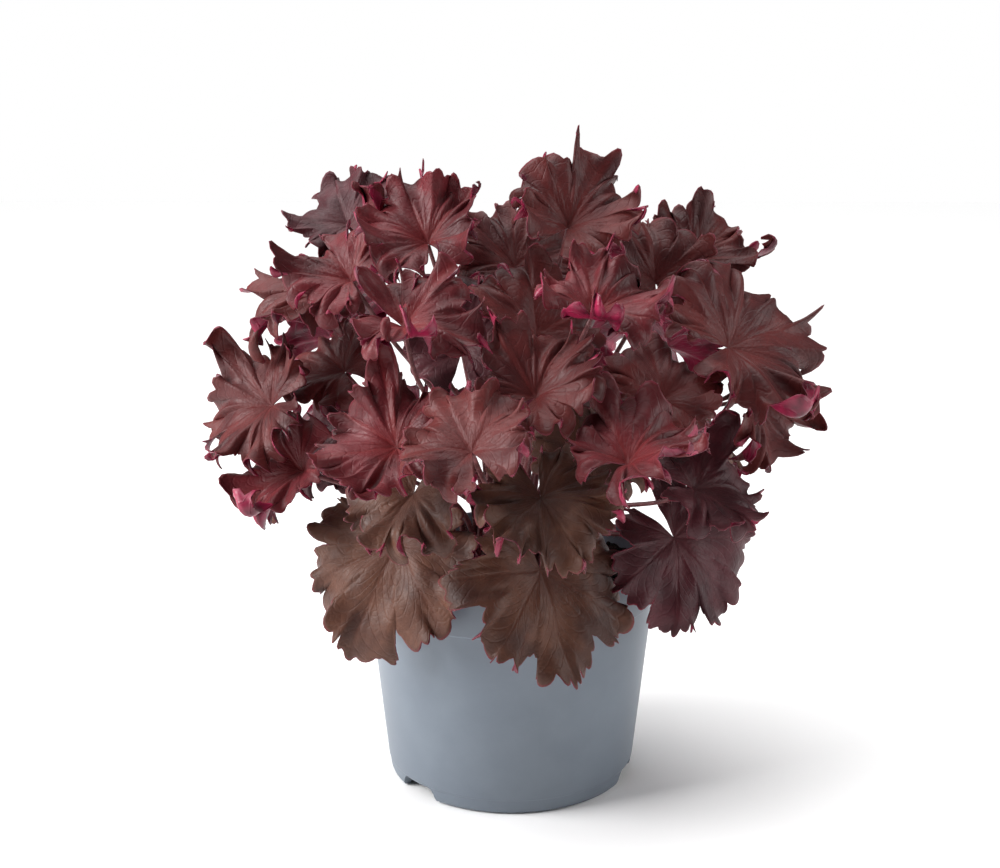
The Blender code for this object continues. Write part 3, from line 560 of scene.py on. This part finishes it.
def add_blade(sheets, leaf, size, axes, hub):
    """Fine blade: the solid's own surface on a close grid, with frills, closed by a second face and a rim.

    The faces lie half the thickness along the normals on either side of the surface. Its UV maps carry
    (lobes along the margin, share of the way out) and (millimetres from the nearest main vein, steps
    along the side veins, which is veins * way out - lean * lobes off the main vein).
    """
    n = leaf.shape.lobes
    u = np.linspace(-0.5, n - 0.5, n * LOBE_STEPS + 1)
    e = np.concatenate([[0.0], np.linspace(0.05, 1.0, RADIAL_ROWS) ** 0.8])
    grid = blade_surface(leaf.shape, size, u, e, frills=1.0) @ axes.T + hub
    rows, columns = grid.shape[0], len(e) - 1
    points = np.vstack([grid[:, 1:].reshape(-1, 3), grid[:1, 0]])
    quads = grid_faces(rows, columns)
    fan = np.stack([np.full(rows - 1, rows * columns), np.arange(rows - 1) * columns,
                    np.arange(1, rows) * columns], axis=-1)
    triangles = np.vstack([quads[:, [0, 1, 2]], quads[:, [0, 2, 3]], fan])
    thin = 0.5 * FINE_THICKNESS * normals_of(points, triangles)
    off = np.abs(u - np.clip(np.round(u), 0, n - 1))[:, None]
    way_out = e[None, 1:]
    marks = (u[:, None] + 0.5, way_out, off * way_out * LOBE_WIDTH * size,
             SIDE_VEINS * way_out - SIDE_VEIN_LEAN * off)
    uv = np.stack(np.broadcast_arrays(*marks), axis=-1).reshape(-1, 4)
    uv = np.vstack([uv, [[0.5, 0.0, 0.0, 0.0]]])
    total = len(points)
    edge = np.concatenate([[rows * columns], np.arange(columns), np.arange(1, rows) * columns + columns - 1,
                           (rows - 1) * columns + np.arange(columns - 2, -1, -1), [rows * columns]])
    rim = np.stack([edge[1:], edge[:-1], edge[:-1] + total, edge[1:] + total], axis=-1)
    sheets.add(np.vstack([points + thin, points - thin]), np.vstack([uv, uv]),
               (quads, UPPER_FACE), (fan, UPPER_FACE),
               (quads[:, ::-1] + total, UNDER_FACE), (fan[:, ::-1] + total, UNDER_FACE), (rim, RIM))
    return grid


def add_needles(sheets, feet, ways, length, radius):
    """Hairs as three-sided needles: a small triangle round each foot and a tip at foot + length * way."""
    count = len(feet)
    side = np.cross(ways, [0.2, 0.4, 0.89])
    side = side / np.maximum(np.linalg.norm(side, axis=1)[:, None], 1e-6)
    other = np.cross(ways, side)
    turn = np.radians([0.0, 120.0, 240.0])[:, None]
    foot = feet[:, None] + radius * (np.cos(turn) * side[:, None] + np.sin(turn) * other[:, None])
    points = np.concatenate([foot, (feet + ways * length[:, None])[:, None]], axis=1).reshape(-1, 3)
    at = 4 * np.arange(count)[:, None]
    faces = np.concatenate([at + [0, 1, 3], at + [1, 2, 3], at + [2, 0, 3], at + [2, 1, 0]])
    sheets.add(points, np.zeros((len(points), 4)), (faces, HAIRS))


def add_stalk(sheets, coarse, axes, draw):
    """Stalk along the solid's own path, smoothed, with pale hairs all round.

    Each ring is path + radius * (cos a * side + sin a * other), with a radius that falls on the way up.
    """
    coarse[-1] -= STALK_END_SINK * axes[:, 2]
    fine = np.linspace(0, 1, STALK_RINGS)
    share = np.linspace(0, 1, len(coarse))
    path = np.stack([np.interp(fine, share, coarse[:, k]) for k in range(3)], axis=1)
    for _ in range(3):
        path[1:-1] = 0.25 * path[:-2] + 0.5 * path[1:-1] + 0.25 * path[2:]
    along = np.gradient(path, axis=0)
    along = along / np.linalg.norm(along, axis=1)[:, None]
    side = np.cross(along, [0.31, 0.95, 0.05])
    side = side / np.linalg.norm(side, axis=1)[:, None]
    angle = np.linspace(0, 2 * np.pi, STALK_SIDES, endpoint=False)[None, :, None]
    ways = np.cos(angle) * side[:, None] + np.sin(angle) * np.cross(along, side)[:, None]
    rings = path[:, None] + (STALK_FOOT_RADIUS - STALK_TAPER * fine)[:, None, None] * ways
    i, j = np.meshgrid(np.arange(STALK_RINGS - 1), np.arange(STALK_SIDES), indexing="ij")
    a, b = i * STALK_SIDES + j, i * STALK_SIDES + (j + 1) % STALK_SIDES
    skin = np.stack([a, b, b + STALK_SIDES, a + STALK_SIDES], axis=-1).reshape(-1, 4)
    k = np.arange(STALK_SIDES)
    after, last, pole = (k + 1) % STALK_SIDES, (STALK_RINGS - 1) * STALK_SIDES, STALK_RINGS * STALK_SIDES
    ends = np.concatenate([np.stack([after, k, np.full(STALK_SIDES, pole)], axis=-1),
                           np.stack([last + k, last + after, np.full(STALK_SIDES, pole + 1)], axis=-1)])
    points = np.vstack([rings.reshape(-1, 3), path[[0, -1]]])
    sheets.add(points, np.zeros((len(points), 4)), (skin, STEM), (ends, STEM))
    i = draw.integers(4, STALK_RINGS - 1, STALK_HAIRS)
    j = draw.integers(0, STALK_SIDES, STALK_HAIRS)
    feet = rings[i, j] + draw.uniform(-0.6, 0.6, (STALK_HAIRS, 1)) * np.gradient(path, axis=0)[i]
    hair_ways = ways[i, j] + draw.normal(0, 0.35, (STALK_HAIRS, 3))
    hair_ways = hair_ways / np.linalg.norm(hair_ways, axis=1)[:, None]
    lengths = draw.uniform(*STALK_HAIR_LENGTHS, STALK_HAIRS)
    add_needles(sheets, feet - 0.2 * ways[i, j], hair_ways, lengths, STALK_HAIR_RADIUS)


def add_margin_hairs(sheets, grid, draw):
    """Short hairs that stand out of the margin, a little up and down."""
    at = np.arange(1, grid.shape[0] - 1)
    out = grid[at, -1] - grid[at, -3]
    out = out / np.linalg.norm(out, axis=1)[:, None]
    ways = out + draw.normal(0, 0.35, out.shape)
    ways = ways / np.linalg.norm(ways, axis=1)[:, None]
    lengths = draw.uniform(*MARGIN_HAIR_LENGTHS, len(at))
    add_needles(sheets, grid[at, -1] - 0.15 * out, ways, lengths, MARGIN_HAIR_RADIUS)


def linear(text):
    """Linear colour of an sRGB hex value."""
    value = np.array([int(text[k:k + 2], 16) for k in (1, 3, 5)]) / 255.0
    value = np.where(value <= 0.04045, value / 12.92, ((value + 0.055) / 1.055) ** 2.4)
    return (*map(float, value), 1.0)


def node(tree, kind, inputs=None, out=0, **settings):
    """Adds a node, links or sets its inputs, and gives one of its outputs."""
    made = tree.nodes.new(kind)
    for key, value in settings.items():
        setattr(made, key, value)
    for key, value in (inputs or {}).items():
        if isinstance(value, bpy.types.NodeSocket):
            tree.links.new(value, made.inputs[key])
        else:
            made.inputs[key].default_value = value
    return made.outputs[out]


def principled(name, constants):
    """New material, its tree and its Principled shader with constants set on the shader's sockets."""
    made = bpy.data.materials.new(name)
    made.use_nodes = True
    shader = made.node_tree.nodes["Principled BSDF"]
    for key, value in constants.items():
        shader.inputs[key].default_value = value
    return made, made.node_tree, shader


def leaf_marks(tree):
    """Main veins, side veins and the way out to the margin, from what a blade's UV maps carry."""
    veins = node(tree, "ShaderNodeUVMap", uv_map="veins")
    off_main = node(tree, "ShaderNodeSeparateXYZ", {0: veins}, "X")
    steps = node(tree, "ShaderNodeSeparateXYZ", {0: veins}, "Y")
    off_side = node(tree, "ShaderNodeMath", {0: steps, 1: 0.5}, operation="PINGPONG")
    main = node(tree, "ShaderNodeMapRange",
                {"Value": off_main, "From Min": 0.2, "From Max": 1.2, "To Min": 1.0, "To Max": 0.0},
                interpolation_type="SMOOTHSTEP")
    side = node(tree, "ShaderNodeMapRange",
                {"Value": off_side, "From Min": 0.01, "From Max": 0.12, "To Min": 1.0, "To Max": 0.0},
                interpolation_type="SMOOTHSTEP")
    surface = node(tree, "ShaderNodeUVMap", uv_map="surface")
    return main, side, node(tree, "ShaderNodeSeparateXYZ", {0: surface}, "Y")


def leaf_upper(name, dark, light, heart, roughness):
    """Upper face of a leaf: waxy skin over pigment, so soft light makes a satin bloom on its folds."""
    made, tree, shader = principled(name, {"Roughness": roughness, "Specular IOR Level": 0.26,
                                           "Sheen Weight": 0.07, "Sheen Roughness": 0.45,
                                           "Sheen Tint": linear("#d8a8a8")})
    place = node(tree, "ShaderNodeTexCoord", out="Object")
    main, side, way_out = leaf_marks(tree)
    patches = node(tree, "ShaderNodeTexNoise", {"Vector": place, "Scale": 1.0 / (20.0 * MM), "Detail": 3.0})
    mottle = node(tree, "ShaderNodeTexNoise", {"Vector": place, "Scale": 1.0 / (3.5 * MM), "Detail": 4.0})
    share = node(tree, "ShaderNodeMapRange", {"Value": patches, "From Min": 0.38, "From Max": 0.62})
    colour = node(tree, "ShaderNodeMix", {0: share, 6: linear(dark), 7: linear(light)}, 2, data_type="RGBA")
    share = node(tree, "ShaderNodeMapRange",
                 {"Value": mottle, "From Min": 0.35, "From Max": 0.75, "To Max": 0.4})
    colour = node(tree, "ShaderNodeMix", {0: share, 6: colour, 7: linear(dark)}, 2, data_type="RGBA")
    # Redder near the hub, along the veins and in a thin line at the margin
    share = node(tree, "ShaderNodeMapRange",
                 {"Value": way_out, "From Min": 0.05, "From Max": 0.5, "To Min": 0.55, "To Max": 0.0},
                 interpolation_type="SMOOTHSTEP")
    colour = node(tree, "ShaderNodeMix", {0: share, 6: colour, 7: linear(heart)}, 2, data_type="RGBA")
    share = node(tree, "ShaderNodeMath", {0: main, 1: 0.35}, operation="MULTIPLY")
    colour = node(tree, "ShaderNodeMix", {0: share, 6: colour, 7: linear(heart)}, 2, data_type="RGBA")
    share = node(tree, "ShaderNodeMapRange",
                 {"Value": way_out, "From Min": 0.97, "From Max": 1.0, "To Max": 0.45})
    colour = node(tree, "ShaderNodeMix", {0: share, 6: colour, 7: linear("#7d1432")}, 2, data_type="RGBA")
    # Sunken veins, with the blade puckered up between them and a fine net of veinlets
    cells = node(tree, "ShaderNodeTexVoronoi", {"Vector": place, "Scale": 1.0 / (2.4 * MM)},
                 feature="DISTANCE_TO_EDGE")
    net = node(tree, "ShaderNodeMapRange", {"Value": cells, "From Max": 0.25, "To Max": 0.3})
    height = node(tree, "ShaderNodeMath", {0: mottle, 1: 0.5, 2: net}, operation="MULTIPLY_ADD")
    height = node(tree, "ShaderNodeMath", {0: side, 1: -0.5, 2: height}, operation="MULTIPLY_ADD")
    height = node(tree, "ShaderNodeMath", {0: height, 1: main}, operation="SUBTRACT")
    bump = node(tree, "ShaderNodeBump", {"Height": height, "Strength": 0.42, "Distance": 0.5 * MM})
    worn = node(tree, "ShaderNodeMapRange",
                {"Value": mottle, "From Min": 0.25, "From Max": 0.75, "To Min": roughness - 0.07,
                 "To Max": roughness + 0.08})
    tree.links.new(colour, shader.inputs["Base Color"])
    tree.links.new(bump, shader.inputs["Normal"])
    tree.links.new(worn, shader.inputs["Roughness"])
    return made


def leaf_under(name, deep, bright, vein):
    """Underside of a leaf: bare red pigment, a vivid flash where a margin folds over, with raised veins."""
    made, tree, shader = principled(name, {"Roughness": 0.42, "Specular IOR Level": 0.45})
    place = node(tree, "ShaderNodeTexCoord", out="Object")
    main, side, _ = leaf_marks(tree)
    patches = node(tree, "ShaderNodeTexNoise", {"Vector": place, "Scale": 1.0 / (9.0 * MM), "Detail": 3.0})
    share = node(tree, "ShaderNodeMapRange", {"Value": patches, "From Min": 0.35, "From Max": 0.65})
    colour = node(tree, "ShaderNodeMix", {0: share, 6: linear(deep), 7: linear(bright)}, 2, data_type="RGBA")
    share = node(tree, "ShaderNodeMath", {0: main, 1: 0.5}, operation="MULTIPLY")
    colour = node(tree, "ShaderNodeMix", {0: share, 6: colour, 7: linear(vein)}, 2, data_type="RGBA")
    height = node(tree, "ShaderNodeMath", {0: side, 1: 0.6, 2: main}, operation="MULTIPLY_ADD")
    bump = node(tree, "ShaderNodeBump", {"Height": height, "Strength": 0.6, "Distance": 0.5 * MM})
    tree.links.new(colour, shader.inputs["Base Color"])
    tree.links.new(bump, shader.inputs["Normal"])
    return made


def grained(name, first, second, roughness, grain_mm, depth_mm):
    """Matt material of two colours in blotches, with a bump of the same grain."""
    made, tree, shader = principled(name, {"Roughness": roughness, "Specular IOR Level": 0.35})
    place = node(tree, "ShaderNodeTexCoord", out="Object")
    grain = node(tree, "ShaderNodeTexNoise",
                 {"Vector": place, "Scale": 1.0 / (grain_mm * MM), "Detail": 4.0})
    share = node(tree, "ShaderNodeMapRange", {"Value": grain, "From Min": 0.35, "From Max": 0.65})
    colour = node(tree, "ShaderNodeMix", {0: share, 6: linear(first), 7: linear(second)}, 2,
                  data_type="RGBA")
    bump = node(tree, "ShaderNodeBump", {"Height": grain, "Strength": 0.7, "Distance": depth_mm * MM})
    tree.links.new(colour, shader.inputs["Base Color"])
    tree.links.new(bump, shader.inputs["Normal"])
    return made


def moulded_pot():
    """Injection-moulded polypropylene: a satin grey-blue skin with faint orange peel, dust and scuffs."""
    made, tree, shader = principled("moulded_polypropylene", {"Roughness": 0.42, "Specular IOR Level": 0.5})
    place = node(tree, "ShaderNodeTexCoord", out="Object")
    dust = node(tree, "ShaderNodeTexNoise", {"Vector": place, "Scale": 1.0 / (22.0 * MM), "Detail": 5.0})
    peel = node(tree, "ShaderNodeTexNoise", {"Vector": place, "Scale": 1.0 / (1.2 * MM), "Detail": 2.0})
    share = node(tree, "ShaderNodeMapRange", {"Value": dust, "From Min": 0.35, "From Max": 0.7})
    colour = node(tree, "ShaderNodeMix", {0: share, 6: linear("#646d78"), 7: linear("#6c757f")}, 2,
                  data_type="RGBA")
    gloss = node(tree, "ShaderNodeMapRange",
                 {"Value": dust, "From Min": 0.3, "From Max": 0.7, "To Min": 0.38, "To Max": 0.48})
    bump = node(tree, "ShaderNodeBump", {"Height": peel, "Strength": 0.12, "Distance": 0.08 * MM})
    tree.links.new(colour, shader.inputs["Base Color"])
    tree.links.new(gloss, shader.inputs["Roughness"])
    tree.links.new(bump, shader.inputs["Normal"])
    return made


UPPER = {
    "bronze": leaf_upper("bronze_leaf_skin", "#3a2019", "#5c3a2c", "#4e2a1e", 0.5),
    "plum": leaf_upper("plum_leaf_skin", "#36141a", "#4f2128", "#491b20", 0.5),
    "brown": leaf_upper("brown_leaf_skin", "#401315", "#602625", "#5c1917", 0.48),
    "crimson": leaf_upper("young_leaf_skin", "#481318", "#692329", "#70191b", 0.46),
}
UNDER = leaf_under("red_leaf_underside", "#520820", "#93163f", "#a33a54")
# Thin red rim of the blade, catching the light as a line
MARGIN = grained("leaf_rim", "#4c0f20", "#74192f", 0.5, 5.0, 0.05)
# Fleshy stalk, pinkish brown, faintly streaked
STALK = grained("leaf_stalk", "#52282a", "#79484a", 0.48, 4.0, 0.2)
# Pale glandular hairs, which show as a haze along stalks and margins
HAIR = grained("leaf_hair", "#b98088", "#d3aaa8", 0.5, 3.0, 0.01)
# In the order of the numbers that the faces of a leaf carry
LEAF_MATERIALS = {tone: [upper, UNDER, MARGIN, STALK, HAIR] for tone, upper in UPPER.items()}


def dress(piece, node_name):
    """Puts a piece on the root body and hides the frame's part that it replaces."""
    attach(piece, "root")
    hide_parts(node_name)


def fine_leaves():
    """Every leaf where its solid stands: blade, stalk and hairs in one piece."""
    leaves = seen_leaves() + far_leaves()
    free = list(socket_places(len(leaves)))
    for number, leaf in enumerate(leaves):
        name = f"leaf_{number + 1:02d}"
        search = corner_search(frame["nodes"][name])
        scale, axes, hub = found_blade(leaf, search)
        path = found_path(leaf, search, axes, hub, free)
        draw = np.random.default_rng(900 + number)
        sheets = Sheets()
        grid = add_blade(sheets, leaf, leaf.size * scale, axes, hub)
        add_stalk(sheets, path, axes, draw)
        add_margin_hairs(sheets, grid, draw)
        dress(sheets.build("fine_" + name, LEAF_MATERIALS[leaf.tone]), name)


def around(radius, height, turn):
    """Points at a radius, a height and an angle about the axis, of which only the angle must be an array."""
    return np.stack([radius * np.cos(turn), radius * np.sin(turn), np.full_like(turn, height)], axis=-1)


def closed_mesh(name, points, faces):
    """Mesh of points in millimetres, its seams and poles merged and its faces turned outwards."""
    mesh = bpy.data.meshes.new(name)
    mesh.from_pydata((points * MM).tolist(), [], faces)
    shape = bmesh.new()
    shape.from_mesh(mesh)
    bmesh.ops.remove_doubles(shape, verts=shape.verts, dist=0.002 * MM)
    bmesh.ops.recalc_face_normals(shape, faces=shape.faces)
    shape.to_mesh(mesh)
    shape.free()
    return mesh


def rounded(corners, radius, steps=4):
    """Profile with each inner corner replaced by a quadratic bend that starts radius before it."""
    points = [np.array(c, float) for c in corners]
    out = [points[0]]
    for before, corner, after in zip(points, points[1:], points[2:]):
        a = corner + unit(before - corner) * min(radius, 0.45 * np.linalg.norm(before - corner))
        b = corner + unit(after - corner) * min(radius, 0.45 * np.linalg.norm(after - corner))
        for t in np.linspace(0, 1, steps):
            out.append((1 - t) ** 2 * a + 2 * t * (1 - t) * corner + t ** 2 * b)
    out.append(points[-1])
    return out


def notch_cutter(azimuth):
    """Block through foot and wall at an azimuth: widest at the floor, with its upper corners rounded."""
    half = np.radians([NOTCH_HALF_ANGLE_LOW + 1.0, NOTCH_HALF_ANGLE_HIGH + 1.8,
                       NOTCH_HALF_ANGLE_HIGH + 0.6, NOTCH_HALF_ANGLE_HIGH - 1.0])
    height = np.array([-4.0, NOTCH_HEIGHT - 2.2, NOTCH_HEIGHT - 0.7, NOTCH_HEIGHT])
    centre = math.radians(azimuth - 90.0)
    angles = np.concatenate([centre - half, centre + half[::-1]])
    heights = np.concatenate([height, height[::-1]])
    points = np.vstack([around(r, heights, angles) for r in (FOOT_RADIUS - 7.0, FOOT_RADIUS + 6.0)])
    count = len(angles)
    faces = [tuple(range(count)), tuple(range(2 * count - 1, count - 1, -1))]
    faces += [(k, (k + 1) % count, count + (k + 1) % count, count + k)[::-1] for k in range(count)]
    return bpy.data.objects.new("notch", closed_mesh("notch", points, faces))


def fine_pot():
    """Pot: its profile, with rounded corners, goes round the axis, and three notches are cut through it."""
    outside, inside = pot_profile()
    turn = np.linspace(0, 2 * np.pi, POT_STEPS + 1)
    profile = rounded([(0.0, WALL), *inside, *outside, (0.0, 0.0)], 0.5)
    grid = np.stack([around(r, z, turn) for r, z in profile])
    faces = grid_faces(*grid.shape[:2])[:, ::-1].tolist()
    pot = placed("moulded_pot", closed_mesh("pot", grid.reshape(-1, 3), faces), moulded_pot())
    cutters = bpy.data.collections.new("notch_cutters")
    for azimuth in NOTCH_AZIMUTHS:
        cutters.objects.link(notch_cutter(azimuth))
    cut = pot.modifiers.new("Notches", "BOOLEAN")
    cut.operand_type = "COLLECTION"
    cut.collection = cutters
    cut.operation = "DIFFERENCE"
    cut.solver = "EXACT"
    graph = bpy.context.evaluated_depsgraph_get()
    pot.data = bpy.data.meshes.new_from_object(pot.evaluated_get(graph))
    pot.modifiers.clear()
    pot.data.shade_smooth()
    pot.data.set_sharp_from_angle(angle=CRISP_EDGE)
    for cutter in list(cutters.objects):
        bpy.data.objects.remove(cutter)
    bpy.data.collections.remove(cutters)
    return pot


def crumbs(draw):
    """Loose crumbs: small balls on a grid of latitude and longitude, squeezed and dented at random."""
    lift, turn = np.meshgrid(np.radians(np.linspace(-90, 90, BALL_ROWS)),
                             np.linspace(0, 2 * np.pi, BALL_COLUMNS), indexing="ij")
    ball = around(np.cos(lift), np.sin(lift), turn)
    angle = draw.uniform(0, 2 * np.pi, CRUMBS)
    radius = np.sqrt(draw.uniform(CRUMB_RING[0] ** 2, CRUMB_RING[1] ** 2, CRUMBS))
    spot = around(radius, SOIL_LEVEL + 0.9, angle)
    size = draw.uniform(*CRUMB_SIZES, (CRUMBS, 1, 1, 1)) * draw.uniform(0.7, 1.2, (CRUMBS, 1, 1, 3))
    dent = draw.uniform(0.8, 1.15, (CRUMBS, BALL_ROWS, BALL_COLUMNS, 1))
    dent[:, :, -1] = dent[:, :, 0]
    dent[:, [0, -1]] = dent[:, [0, -1], :1]
    points = spot[:, None, None] + size * dent * ball[None]
    starts = BALL_ROWS * BALL_COLUMNS * np.arange(CRUMBS)[:, None, None]
    faces = grid_faces(BALL_ROWS, BALL_COLUMNS)[None] + starts
    return points.reshape(-1, 3), faces.reshape(-1, 4)


def fine_soil(draw):
    """Peat with loose crumbs on it: a lumpy top on plain sides, and a well for the crown.

    The lumps are a sum of 0.055 * size * sin(run + shift) * sin(0.7 * run - 2 * shift), where run is the
    way across the soil in one of three directions for each size.
    """
    floor = PLATE_LIFT + WALL + GAP
    well_radius, well_floor = CROWN_RADIUS + GAP, CROWN_FOOT - GAP
    radii = np.concatenate([[well_radius], np.linspace(CROWN_RADIUS + 1.0, soil_radius(SOIL_LEVEL), 26)])
    turn = np.linspace(0, 2 * np.pi, SOIL_STEPS + 1)
    r, a = np.meshgrid(radii, turn, indexing="ij")
    lumps = np.zeros_like(r)
    for size in (14.0, 8.0, 5.0, 3.2):
        ways, shifts = draw.uniform(0, 2 * np.pi, 3), draw.uniform(0, 2 * np.pi, 3)
        for way, shift in zip(ways, shifts):
            run = r * np.cos(a - way) * 2 * np.pi / size
            lumps += 0.055 * size * np.sin(run + shift) * np.sin(0.7 * run - 2 * shift)
    top = around(r, SOIL_LEVEL + 0.4 + lumps, a)
    foot = soil_radius(floor + 4.0)
    grid = np.stack([around(0.0, well_floor, turn), around(well_radius, well_floor, turn), *top]
                    + [around(soil_radius(z), z, turn) for z in (SOIL_LEVEL - 4.0, 50.0, floor + 4.0)]
                    + [around(foot - 1.6, floor, turn), around(0.0, floor, turn)])
    loose, loose_faces = crumbs(draw)
    points = np.vstack([grid.reshape(-1, 3), loose])
    faces = grid_faces(*grid.shape[:2])[:, ::-1].tolist() + (loose_faces + grid[..., 0].size).tolist()
    # Damp peat, nearly black, with brown fibres
    peat = grained("damp_peat", "#0e0b0a", "#241b16", 0.95, 1.6, 0.8)
    return placed("peat_soil", closed_mesh("peat", points, faces), peat)


def fine_rootstock():
    """Woody crown: radius R cos a, and height growing with sin a, roughened by sines round and across."""
    turn = np.linspace(0, 2 * np.pi, CROWN_STEPS + 1)
    lift = np.radians(np.linspace(90, 0, 24))
    a, b = np.meshgrid(lift, turn, indexing="ij")
    rough = 1.0 + 0.035 * np.sin(9 * b + 5 * a) * np.cos(a) + 0.03 * np.sin(17 * b - 9 * a) * np.cos(a)
    radius = CROWN_RADIUS - 0.4
    z = SOIL_LEVEL + 1.0 + (CROWN_TOP - 1.0 - SOIL_LEVEL) * np.sin(a) * rough
    dome = around(radius * np.cos(a), z, b)
    grid = np.stack([*dome, around(radius, CROWN_FOOT, turn), around(0.0, CROWN_FOOT, turn)])
    faces = grid_faces(*grid.shape[:2])[:, ::-1].tolist()
    # Corky bark of the crown, dull and dark between the stalks
    bark = grained("crown_bark", "#2c1b17", "#4a322a", 0.85, 2.5, 0.8)
    return placed("woody_crown", closed_mesh("crown", grid.reshape(-1, 3), faces), bark)


def stage():
    """Pale floor under the pot."""
    mesh = bpy.data.meshes.new("floor")
    corners = [(x * FLOOR_HALF, y * FLOOR_HALF, 0.0) for x, y in ((-1, -1), (1, -1), (1, 1), (-1, 1))]
    mesh.from_pydata(corners, [], [(0, 1, 2, 3)])
    mesh.materials.append(principled("pale_floor", {"Roughness": 0.9, "Base Color": linear("#fcfcfc")})[0])
    floor = bpy.data.objects.new("floor", mesh)
    floor.location.z = -0.4 * MM
    bpy.context.scene.collection.objects.link(floor)


def aim(made, spot, ahead):
    """Puts a lamp or a camera at a spot in metres, looking ahead and upright, into the scene."""
    right = unit(np.cross(ahead, UP))
    up = np.cross(right, ahead)
    rows = [[right[k], up[k], -ahead[k], spot[k]] for k in range(3)]
    made.matrix_world = Matrix(rows + [[0, 0, 0, 1]])
    bpy.context.scene.collection.objects.link(made)


def soft_box(name, spot, side, power):
    """White square lamp that faces the plant."""
    lamp = bpy.data.lights.new(name, "AREA")
    lamp.size = side
    lamp.energy = power
    aim(bpy.data.objects.new(name, lamp), spot, unit(PLANT_CENTRE - spot))


def lights():
    """Soft boxes: the main one at the left, a weaker one at the right, and a wide white ceiling above."""
    soft_box("left_box", (-1.25, -0.3, 0.75), 0.8, 29.0)
    soft_box("right_box", (1.25, -0.15, 0.6), 0.8, 9.0)
    above = bpy.data.lights.new("ceiling", "SUN")
    above.energy = 3.15
    above.angle = math.radians(70)
    ceiling = bpy.data.objects.new("ceiling", above)
    ceiling.rotation_euler = (math.radians(-12), math.radians(-14), 0.0)
    bpy.context.scene.collection.objects.link(ceiling)
    world = bpy.data.worlds.new("studio")
    world.use_nodes = True
    tree = world.node_tree
    # White where the camera sees it, and dimmer as a light, so that the shadows stay deep
    seen = node(tree, "ShaderNodeLightPath", out="Is Camera Ray")
    strength = node(tree, "ShaderNodeMapRange", {"Value": seen, "To Min": 0.07, "To Max": 1.0})
    tree.links.new(strength, tree.nodes["Background"].inputs["Strength"])
    tree.nodes["Background"].inputs["Color"].default_value = (1.0, 1.0, 1.0, 1.0)
    bpy.context.scene.world = world
    bpy.context.scene.view_settings.view_transform = "Standard"


def camera():
    """The photograph's view: 650 mm in front and 310 mm up, looking down 13.5 degrees."""
    lens = bpy.data.cameras.new("view")
    lens.sensor_fit = "HORIZONTAL"
    lens.sensor_width = 36.0
    lens.lens = VIEW_FOCUS / (2.0 * PICTURE_CENTRE[0]) * lens.sensor_width
    lens.clip_start = 0.02
    made = bpy.data.objects.new("view", lens)
    aim(made, VIEW_POINT * MM, sight_line(PICTURE_CENTRE))
    bpy.context.scene.camera = made


# Build
fine_leaves()
dress(fine_pot(), "pot")
dress(fine_soil(np.random.default_rng(77)), "soil")
dress(fine_rootstock(), "rootstock")
stage()
lights()
camera()
